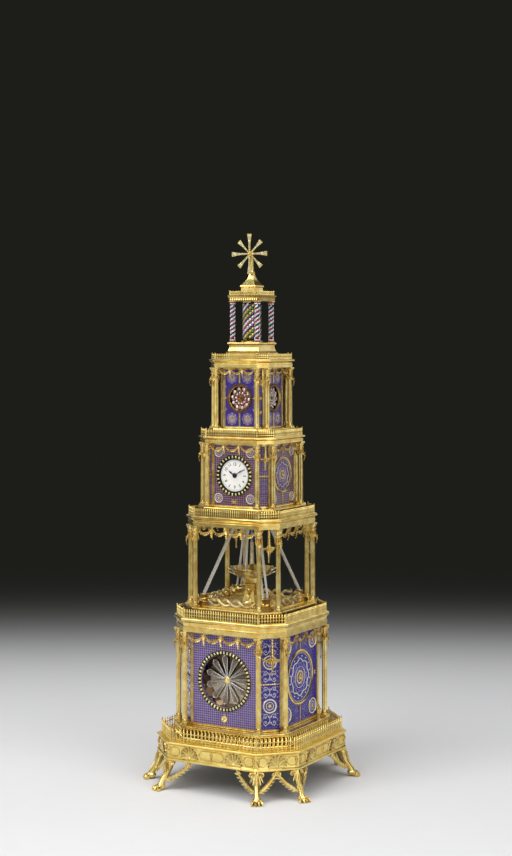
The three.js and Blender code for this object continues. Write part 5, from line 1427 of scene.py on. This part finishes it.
class CLOCK_OT_fountain(bpy.types.Operator):
    """Builds the pedestal, the basin, the twisted glass rods and the mirrored floor with its serpents"""

    bl_idname = "clock.fountain"
    bl_label = "Build fountain"

    def execute(self, context):
        sizes = context.scene.clock_sizes
        floor = FOUNTAIN.floor
        ground = Work()
        ground.set(moulded([(0, floor + 0.02), (0, floor + 0.24)], 84, 60), "water")
        kerb = [(0, 0), (0, 2.2), (-0.8, 2.8), (-2.2, 2.8), (-2.4, 0.1)]
        ground.gild(moulded(raised(kerb, floor), 88, 63))
        gallery(ground, 64, 46, floor + 0.2, 9, 4.6, (0.08, 0.62))
        for k in range(4):
            turn = about("Z", k * QUARTER)
            for hand in (-1, 1):
                body = [(hand * (-52 + 4.6 * i), -81 + hand * 3.0 * math.cos(i * 0.63 + 2.303),
                         floor + 9.4 + 6.6 * math.sin(i * 0.63 + 2.303)) for i in range(21)]
                neck = ((46, -84, 14), (42, -87, 17), (37, -88, 15))
                body += [(hand * x, y, floor + z) for x, y, z in neck]
                girth = [min(2.8, 0.9 + 0.3 * i) for i in range(21)] + [2.7, 2.5, 2.4]
                ground.set(strand(body, girth, 8), "pale_gilt", turn)
                head = turn @ at(hand * 35.4, -88, floor + 14.2)
                ground.set(bead, "pale_gilt", head @ sized(4.2, 2.7, 2.4))
                crest = turn @ at(hand * 44, -85.5, floor + 17)
                for i in range(3):
                    frond(ground, crest, hand * 0.5 * (i - 1), 0.9, 3, 6.5, 3, "pale_gilt")
        ground.done("fountain_floor", slot="silvered_mirror")
        self.pedestal(floor)
        self.basin()
        self.rods(sizes.twist / MM)
        return {"FINISHED"}

    def pedestal(self, floor):
        z = floor + GAP
        work = Work()
        stem = [(3.6, 0), (3.6, 2.4), (2.6, 3.4), (1.2, 4.2), (0.4, 7), (-2.2, 24), (-2.8, 33), (-2.0, 35),
                (0.6, 36.6), (0.6, 38), (-1.6, 39.2), (-3.4, 42), (-5.2, 46), (-5.6, 49.7)]
        work.gild(moulded(raised(stem, z), 12.6))
        for i in range(4):
            turn = about("Z", i * QUARTER)
            wall = on_wall(turn, 11.4, 0, z + 26)
            mask(work, wall)
            plaque = on_wall(turn, 12.2, 0, z + 12) @ about("X", -0.1)
            work.bar(plaque, 15, 11, 0.8, "matt_gilding_painted_bright")
            drop(work, wall @ at(0, -7, 1.4), 7, 4.6)
            for side in (-1, 1):
                work.gild(leaf, wall @ at(side * 5, 9, 0.4) @ about("Z", -side * 0.9) @ sized(4, 8, 5))
        for i in range(4):
            corner = about("Z", math.pi / 4 + i * QUARTER) @ at(0, -17.4, z + 37)
            work.gild(leaf, corner @ about("X", 0.5) @ at(0, -1, 0) @ about("Z", math.pi) @ sized(4, 8, 7))
        work.done("fountain_stem", "fountain_pedestal")

    def basin(self):
        work = Work()
        lobes = lobed(12, 0.94, share=4)
        outer = [(398.6, 13), (400.2, 22), (402, 31), (405.4, 36), (410, 39.4), (415, 42), (418.8, 44)]
        inner = [(419.4, 43.6), (416, 40.6), (411, 37.8), (407, 34), (405, 29), (404.6, 20)]
        work.set(drawn(lobes, [(z, r, 0) for z, r in outer + inner]), "silver_gilt")
        for i in range(12):
            place = round_wall(math.tau * i / 12, 24, 399.6)
            work.set(leaf, "silver_gilt", place @ about("X", 0.95) @ sized(19, 27, 14))
            rim = round_wall(math.tau * i / 12, 41.5, 413)
            work.set(leaf, "silver_gilt", rim @ about("X", 0.5) @ sized(15, 9.4, 13))
            tip = round_wall(math.tau * (i + 0.5) / 12, 40, 412)
            work.set(leaf, "silver_gilt", tip @ about("X", 0.35) @ sized(9, 9, 10))
        stem = [(3.6, 404.8), (9, 404.8), (8, 407), (5, 410), (4.6, 424), (5.4, 427), (4.2, 430), (3.7, 452),
                (3.5, 470), (3.5, 404.8)]
        work.set(turned(stem, 16), "silver_gilt")
        work.done("fountain_bowl", "fountain_basin")

    def rods(self, twist):
        for corner in range(4):
            for i, side in enumerate((-1, 1)):
                aside = side * ROD_APART / math.sqrt(2)
                name = "corner_rod_%d" % (2 * corner + i + 1)
                foot = (ROD_FOOT + aside, -ROD_FOOT + aside, 370.3)
                glass_rod(name, foot, (24 + aside, -24 + aside, ROD_TOP), corner * QUARTER, side * twist)
        for i in range(6):
            glass_rod("basin_rod_%d" % (i + 1), (26, 0, 404.6), (15, 0, ROD_TOP), math.tau * (i + 0.5) / 6,
                      twist if i % 2 else -twist)


def mask(work, wall):
    """A plain generic mask, calm and even, in a wreath of leaves."""
    for i in range(10):
        work.gild(leaf, wall @ about("Z", math.tau * i / 10) @ at(0, 3.2, 0.4) @ sized(2.6, 4.4, 3))
    work.gild(bead, wall @ at(0, 0, 1.0) @ sized(3.6, 4.6, 2.6))
    work.gild(bead, wall @ at(0, -0.4, 3.2) @ sized(0.6, 1.4, 0.9))
    for side in (-1, 1):
        work.gild(bead, wall @ at(side * 1.4, 1.0, 2.9) @ sized(0.7, 0.4, 0.5))
    work.gild(bead, wall @ at(0, -2.3, 2.7) @ sized(1.1, 0.3, 0.5))


def glass_rod(name, foot, head, turn, twist):
    """A twisted glass rod from foot to head, clear of what it stands on and of the ceiling."""
    foot, head = Vector(foot), Vector(head)
    along = head - foot
    lean = along.angle(Vector((0, 0, 1)))
    trim = (ROD_RADIUS * math.sin(lean) + GAP) / math.cos(lean)
    tall = along.length - 2 * trim
    steps = 64
    rod = drawn(lobed(4, 0.68, share=4), [
        (trim + tall * i / steps, ROD_RADIUS, math.tau * tall / twist * i / steps) for i in range(steps + 1)])
    work = Work()
    place = about("Z", turn) @ at(*foot) @ Vector((0, 0, 1)).rotation_difference(along).to_matrix().to_4x4()
    work.set(rod, "glass", place)
    work.done("glass_" + name, name, body=name, slot="clear_glass", crease=60)


class CLOCK_OT_dial(bpy.types.Operator):
    """Builds the jewelled dial ring and the numerals, and finishes the hands"""

    bl_idname = "clock.dial"
    bl_label = "Build dial"

    def execute(self, context):
        sizes = context.scene.clock_sizes
        ring = on_wall(Matrix(), CLOCK.wall + GAP, 0, CLOCK.middle)
        bezel = Work()
        jewel_ring(bezel, ring, 36.9, 7.4, sizes.dial_stones, "paste_pale", "setting", square_stone, 0.42)
        bezel.set(ring_of(31.6, 33.0, 2.6, 64), "setting", ring)
        bezel.done("dial_ring", "dial_bezel")
        paint("dial_plate", "dial")
        face = on_wall(Matrix(), 68.72, 0, CLOCK.middle)
        marks = Work()
        for hour in range(12):
            place = face @ about("Z", -math.tau * hour / 12) @ at(0, 22.4, 0.07)
            marks.set(lettered(str(hour or 12), sizes.numeral / MM), "black", place)
        for minute in range(60):
            place = face @ about("Z", -math.tau * minute / 60) @ at(0, 28.2, 0)
            marks.set(bead, "black", place @ sized(0.3, 0.3 if minute % 5 else 0.8, 0.12))
        marks.set(ring_of(29.3, 29.5, 0.1, 64), "black", face)
        marks.set(ring_of(3.6, 5.2, 0.5, 32), "blued", face)
        marks.done("dial_marks", slot="dial_enamel")
        for hand in ("hour_hand", "minute_hand"):
            paint(hand, "blued")
        return {"FINISHED"}


# Stones of a rosette's arms, and its brilliants
ARMS = {
    "fore": (("paste_orange", "paste_garnet"), "paste_white"),
    "rear": (("paste_green", "paste_lemon"), "paste_rose"),
    "side": (("paste_white", "paste_rose"), "paste_white"),
}


class CLOCK_OT_rosettes(bpy.types.Operator):
    """Sets the stones of the six whirling rosettes"""

    bl_idname = "clock.rosettes"
    bl_label = "Set rosettes"

    def execute(self, context):
        for face, quarter in (("front", 0), ("right", 1), ("left", 3)):
            turn = about("Z", quarter * QUARTER)
            for layer, away, hand in (("fore", 44.5, 1), ("rear", 41.7, -1)):
                work = Work()
                wall = on_wall(turn, away, 0, UPPER.middle)
                whirl(work, wall, hand, *ARMS[layer if face == "front" else "side"])
                if layer == "fore":
                    back = 27.7 - away
                    pipe = [(0, back), (1.5, back), (1.5, 3.4), (0.8, 4), (0, 4)]
                else:
                    back = 31.7 - away
                    pipe = [(1.9, back), (3.0, back), (3.0, 0.4), (1.9, 0.4), (1.9, back)]
                work.set(turned(pipe, 14), "steel", wall)
                wheel = "rosette_%s_%s" % (layer, face)
                work.done("jewelled_" + wheel, wheel, body=wheel, slot="paste_stones")
        return {"FINISHED"}


class CLOCK_OT_lantern(bpy.types.Operator):
    """Builds the lantern: its plinth, jewelled columns, turning drum, roof and finial wheels"""

    bl_idname = "clock.lantern"
    bl_label = "Build lantern"

    def execute(self, context):
        sizes = context.scene.clock_sizes
        self.stage(sizes.column_stone / MM)
        self.drum(sizes.stone / MM)
        self.roof()
        for layer, arm, phase, away in (("fore", 40, 0.0, 9.6), ("rear", 36, 0.5, 6.8)):
            self.wheel(layer, arm, phase, away)
        return {"FINISHED"}

    def stage(self, stone):
        work = Work()
        floor = LANTERN_FLOOR
        moulding = [(1.5, 835.5), (1.5, 846.5), (1.0, 847.1), (1.0, 848.1), (1.5, 848.7), (0.4, 849.2),
                    (-0.8, 850.4), (-2.4, 853.5), (-3.6, 857.5), (-4, 861), (-3.8, 863.4), (-2.4, 864.6),
                    (-1.2, 865.4), (-1, 867.2), (-1.4, floor)]
        work.gild(moulded(moulding, 37))
        for i in range(4):
            work.bar(on_wall(about("Z", i * QUARTER), 38.4, 0, 841.5), 68, 6.5, 0.5, "matt_gilding_painted_bright")
        dish = [(0, 0), (22.4, 0), (22.6, 1), (21.6, 2), (20.4, 2.6), (20.4, 3.4), (19.4, 4), (0, 4)]
        work.gild(turned(raised(dish, floor), 40))
        for x, y in plan(28.2, None):
            self.column(work, at(x, y, floor), stone)
        work.done("lantern_stage", "lantern_colonnade")

    def column(self, work, place, stone):
        tall, r, around = 83.0, 4.7, 12
        work.gild(block, place @ at(0, 0, 0.8) @ sized(12, 12, 1.6),
                  place @ at(0, 0, tall - 0.8) @ sized(12, 12, 1.6))
        core = [(0, 1), (5.2, 1), (5.2, 6), (r - 0.6, 7), (r - 0.6, tall - 7), (5.2, tall - 6),
                (5.2, tall - 1), (0, tall - 1)]
        work.set(turned(core, 12), "setting", place)
        rings = ((3.0, "paste_garnet", 2.8), (5.6, "paste_white", 2.0), (tall - 5.6, "paste_white", 2.0),
                 (tall - 3.0, "paste_garnet", 2.8))
        for level, finish, high in rings:
            for i in range(around):
                work.set(square_stone, finish,
                         place @ round_wall(math.tau * i / around, 5.0, level) @ sized(2.5, high, 2.0))
        low, high = 7.2, tall - 7.2
        bands = ("paste_garnet", "paste_white", "paste_navy", "paste_white")
        for i in range(around):
            for row in range(-4, round((high - low) / stone) + 1):
                level = low + (row + 0.5 + 4 * i / around) * stone
                if low + 0.3 * stone < level < high - 0.3 * stone:
                    for half in (-0.25, 0.25):
                        work.set(square_stone, bands[row % 4],
                                 place @ round_wall(math.tau * i / around, r - 0.75, level + half * stone)
                                 @ sized(2.3, stone * 0.48, 3.0))

    def drum(self, stone):
        work = Work()
        foot, tall, strips = 872.5, 76.0, 20
        core = [(3.4, 0), (17.2, 0), (17.4, 2), (16.6, 3), (16.6, tall - 3), (17.4, tall - 2), (17.2, tall),
                (15, tall), (15, 3), (3.4, 3), (3.4, 0)]
        work.set(turned(raised(core, foot), 40), "setting")
        bands = ("paste_lemon", "paste_green", "paste_lemon", "paste_navy", "paste_white", "paste_garnet",
                 "paste_white", "paste_navy")
        climb = 16 / strips  # rows that a band climbs from strip to strip: two whole bands in a turn
        wide = math.tau * 17 / strips
        slant = Matrix(((1, 0, 0, 0), (0.5, 1, 0, 0), (0, 0, 1, 0), (0, 0, 0, 1)))
        for strip in range(strips):
            for row in range(-16, round(tall / stone) + 1):
                rise = (row + 0.5 + climb * strip) * stone
                if 0.6 * stone < rise < tall - 0.6 * stone:
                    place = round_wall(math.tau * strip / strips, 16.6, foot + rise)
                    work.set(square_stone, bands[row % len(bands)],
                             place @ slant @ sized(wide * 0.94, stone * 0.92, 4.4))
        work.done("jewelled_drum", "jewel_drum", body="spindle", slot="paste_stones")

    def roof(self):
        work = Work()
        z = ROOF_BASE
        eaves = [(-4, 15), (-4, 0), (0, 0), (0, 1.6), (0.5, 2), (0.5, 4.4), (1.1, 5), (1.1, 5.8), (0.6, 6.4),
                 (1.2, 7.4), (2.4, 8.6), (3, 9.2), (3, 10.8), (2.4, 11.4), (0.2, 11.7)]
        work.gild(moulded(raised(eaves, z), 33))
        for i in range(4):
            turn = about("Z", i * QUARTER)
            work.gild(picket, *[
                turn @ at(-32 + 64 * (j + 0.5) / 22, -32.4, z + 11.2) @ sized(1, 1, 8.4) for j in range(22)])
            for level in (0.6, 5.6):
                work.gild(block, turn @ at(0, -32.4, z + 11.4 + level) @ sized(65, 1.5, 1.2))
            for j in range(15):
                work.gild(leaf, on_wall(turn, 33.6, 4.2 * (j - 7), z + 5.4) @ about("Z", math.pi)
                          @ sized(4.4, 5, 3))
        for x, y in plan(32.4, None):
            work.gild(corner_post, at(x, y, z + 11.2) @ sized(0.9, 0.9, 10.5))
        neck = [(27, 11.6), (25, 12.4), (21, 14), (18, 17), (17, 19.6), (16, 20.4), (15.6, 26.6),
                (16.6, 27.8), (17.6, 28.4), (17.6, 29.6)]
        sweep = [(17.5 - 13.5 * math.sin(t * QUARTER), 30 + 26 * t) for t in [i / 12 for i in range(13)]]
        work.gild(moulded(raised(neck + sweep, z), 0.0))
        stem = [(0, -1), (4.4, -1), (5.4, 0.4), (6.4, 1.6), (6.4, 2.6), (5.2, 3.8), (3.8, 5), (3.3, 8),
                (3.9, 10), (3.4, 12), (2.9, 24), (2.6, 36), (3.2, 38), (2.6, 41.4), (0, 42)]
        work.gild(turned(raised(stem, z + 56), 20))
        work.done("lantern_spire", "lantern_roof")

    def wheel(self, layer, arm, phase, away):
        work = Work()
        wall = on_wall(Matrix(), away, 0, FINIAL_HEIGHT)
        work.gild(ring_of(1.3, 4.6, 2.6, 28), wall)
        for i in range(8):
            place = wall @ about("Z", math.tau * i / 8) @ at(3.1, 0, 1.7)
            work.set(round_stone, "paste_garnet" if i % 2 else "paste_lemon", place @ sized(0.85, 0.85, 1.0))
        for i in range(4):
            spoke = wall @ about("Z", (i + phase) * QUARTER) @ about("Z", -QUARTER)
            outline = [(-1.5, 3), (1.5, 3), (1.8, arm * 0.55), (4.7, arm - 0.6), (3.6, arm), (-3.6, arm),
                       (-4.7, arm - 0.6), (-1.8, arm * 0.55)]
            work.gild(drawn(outline, [(0, 1, 0), (1.6, 1, 0)]), spoke)
            rows = 9
            for row in range(rows):
                t = (row + 0.5) / rows
                reach = 6 + (arm - 8) * t
                half = 1.1 if t < 0.5 else 1.1 + 5.2 * (t - 0.5)
                for side in (-1, 1):
                    work.set(square_stone, "paste_smoky" if (row + i) % 3 else "paste_pale",
                             spoke @ at(side * half * 0.52, reach, 1.3)
                             @ sized(half * 0.98, (arm - 8) / rows * 0.92, 2.0))
        if layer == "fore":
            pin = [(0, -14), (1.2, -14), (1.2, 3), (2.4, 3.4), (1.8, 4.6), (0, 5)]
            work.gild(turned(pin, 14), wall)
        wheel = "finial_wheel_" + layer
        work.done("finial_star_" + layer, wheel, body=wheel, slot="paste_stones")


class CLOCK_OT_works(bpy.types.Operator):
    """Finishes the trains inside the cases"""

    bl_idname = "clock.works"
    bl_label = "Finish trains"

    def execute(self, context):
        for node in ("automaton_frame", "automaton_barrel", "clock_frame", "going_barrel", "minute_wheel"):
            paint(node, "brass")
        paint("drive_spindle", "steel")
        return {"FINISHED"}


# Lamps: degrees from the front, height and distance in metres, the panel's width and height, and watts
LAMPS = {
    "key": (-18, 2.5, 2.3, 2.0, 2.0, 47),
    "top": (0, 3.2, 0.3, 2.2, 2.2, 38),
    "left_card": (-32, 1.5, 2.9, 2.4, 2.6, 11.5),
    "right_card": (66, 1.3, 2.9, 1.8, 2.4, 18),
    "front_card": (20, 1.2, 3.8, 3.2, 2.1, 24),
    "far_left_card": (-85, 1.2, 2.9, 2.2, 2.2, 9),
    "right_top": (72, 2.6, 1.9, 1.6, 1.6, 16),
    "back_left": (215, 1.3, 2.9, 1.6, 2.2, 6),
    "back_right": (150, 1.3, 2.9, 1.8, 2.4, 10),
}


class CLOCK_OT_stage(bpy.types.Operator):
    """Lays the floor, and sets the lamps and the camera"""

    bl_idname = "clock.stage"
    bl_label = "Set stage"

    def execute(self, context):
        scene = context.scene
        c = scene.clock_colours
        form = bmesh.new()
        bmesh.ops.create_circle(form, cap_ends=True, segments=96, radius=FLOOR_RADIUS)
        floor = bpy.data.objects.new("floor", mesh_of(form))
        floor.data.materials.append(studio_floor(c.floor))
        scene.collection.objects.link(floor)
        world = bpy.data.worlds.new("studio")
        scene.world = world
        world.use_nodes = True
        tree = world.node_tree
        seen = put(tree, "LightPath")
        direct = put(tree, "Math", {0: seen.outputs["Is Camera Ray"], 1: seen.outputs["Is Transmission Ray"]},
                     operation="MAXIMUM")
        lit, mirrored = linear("#3E3F41"), linear("#3C3B38")
        pale = put(tree, "Mix", {0: seen.outputs["Is Glossy Ray"], 6: lit, 7: mirrored}, data_type="RGBA")
        tone = put(tree, "Mix", {0: direct.outputs[0], 6: pale.outputs[2], 7: c.backdrop}, data_type="RGBA")
        plug(tree, tree.nodes["Background"], {"Color": tone.outputs[2]})
        for name, (azimuth, height, away, wide, tall, watts) in LAMPS.items():
            lamp = bpy.data.lights.new(name, "AREA")
            lamp.shape = "RECTANGLE"
            lamp.size, lamp.size_y = wide, tall
            lamp.energy = watts
            holder = bpy.data.objects.new(name, lamp)
            a = math.radians(azimuth)
            holder.location = (away * math.sin(a), -away * math.cos(a), height)
            holder.rotation_mode = "QUATERNION"
            holder.rotation_quaternion = (holder.location - LAMP_AIM).to_track_quat("Z", "Y")
            scene.collection.objects.link(holder)
        lens = bpy.data.cameras.new("camera")
        lens.lens = CAMERA_LENS
        lens.sensor_width = 36
        lens.shift_x, lens.shift_y = CAMERA_SHIFT
        camera = bpy.data.objects.new("camera", lens)
        aside, back = CAMERA_AWAY * math.sin(CAMERA_AZIMUTH), -CAMERA_AWAY * math.cos(CAMERA_AZIMUTH)
        camera.location = (aside, back, CAMERA_HEIGHT)
        camera.rotation_euler = (QUARTER, 0, CAMERA_AZIMUTH)
        scene.collection.objects.link(camera)
        scene.camera = camera
        scene.view_settings.view_transform = "Standard"
        return {"FINISHED"}


STEPS = (
    CLOCK_OT_finishes, CLOCK_OT_base, CLOCK_OT_storeys, CLOCK_OT_garlands, CLOCK_OT_panels, CLOCK_OT_star,
    CLOCK_OT_fountain, CLOCK_OT_dial, CLOCK_OT_rosettes, CLOCK_OT_lantern, CLOCK_OT_works, CLOCK_OT_stage,
)


class CLOCK_PT_maker(bpy.types.Panel):
    """Lists the steps in order, with the sizes and colours they use"""

    bl_idname = "CLOCK_PT_maker"
    bl_label = "Tower clock"
    bl_space_type = "VIEW_3D"
    bl_region_type = "UI"
    bl_category = "Tower clock"

    def draw(self, context):
        for step in STEPS:
            self.layout.operator(step.bl_idname)
        for group in (context.scene.clock_sizes, context.scene.clock_colours):
            for key in group.__annotations__:
                self.layout.prop(group, key)


CLASSES = (ClockSizes, ClockColours, *STEPS, CLOCK_PT_maker)


def register():
    for cls in CLASSES:
        bpy.utils.register_class(cls)
    bpy.types.Scene.clock_sizes = bpy.props.PointerProperty(type=ClockSizes)
    bpy.types.Scene.clock_colours = bpy.props.PointerProperty(type=ClockColours)


def unregister():
    del bpy.types.Scene.clock_sizes
    del bpy.types.Scene.clock_colours
    for cls in reversed(CLASSES):
        bpy.utils.unregister_class(cls)


def main():
    register()
    for step in STEPS:
        group, name = step.bl_idname.split(".")
        getattr(getattr(bpy.ops, group), name)()
    for mesh in [m for m in bpy.data.meshes if not m.users]:
        bpy.data.meshes.remove(mesh)
    STAMPS.clear()


if __name__ == "__main__":
    main()
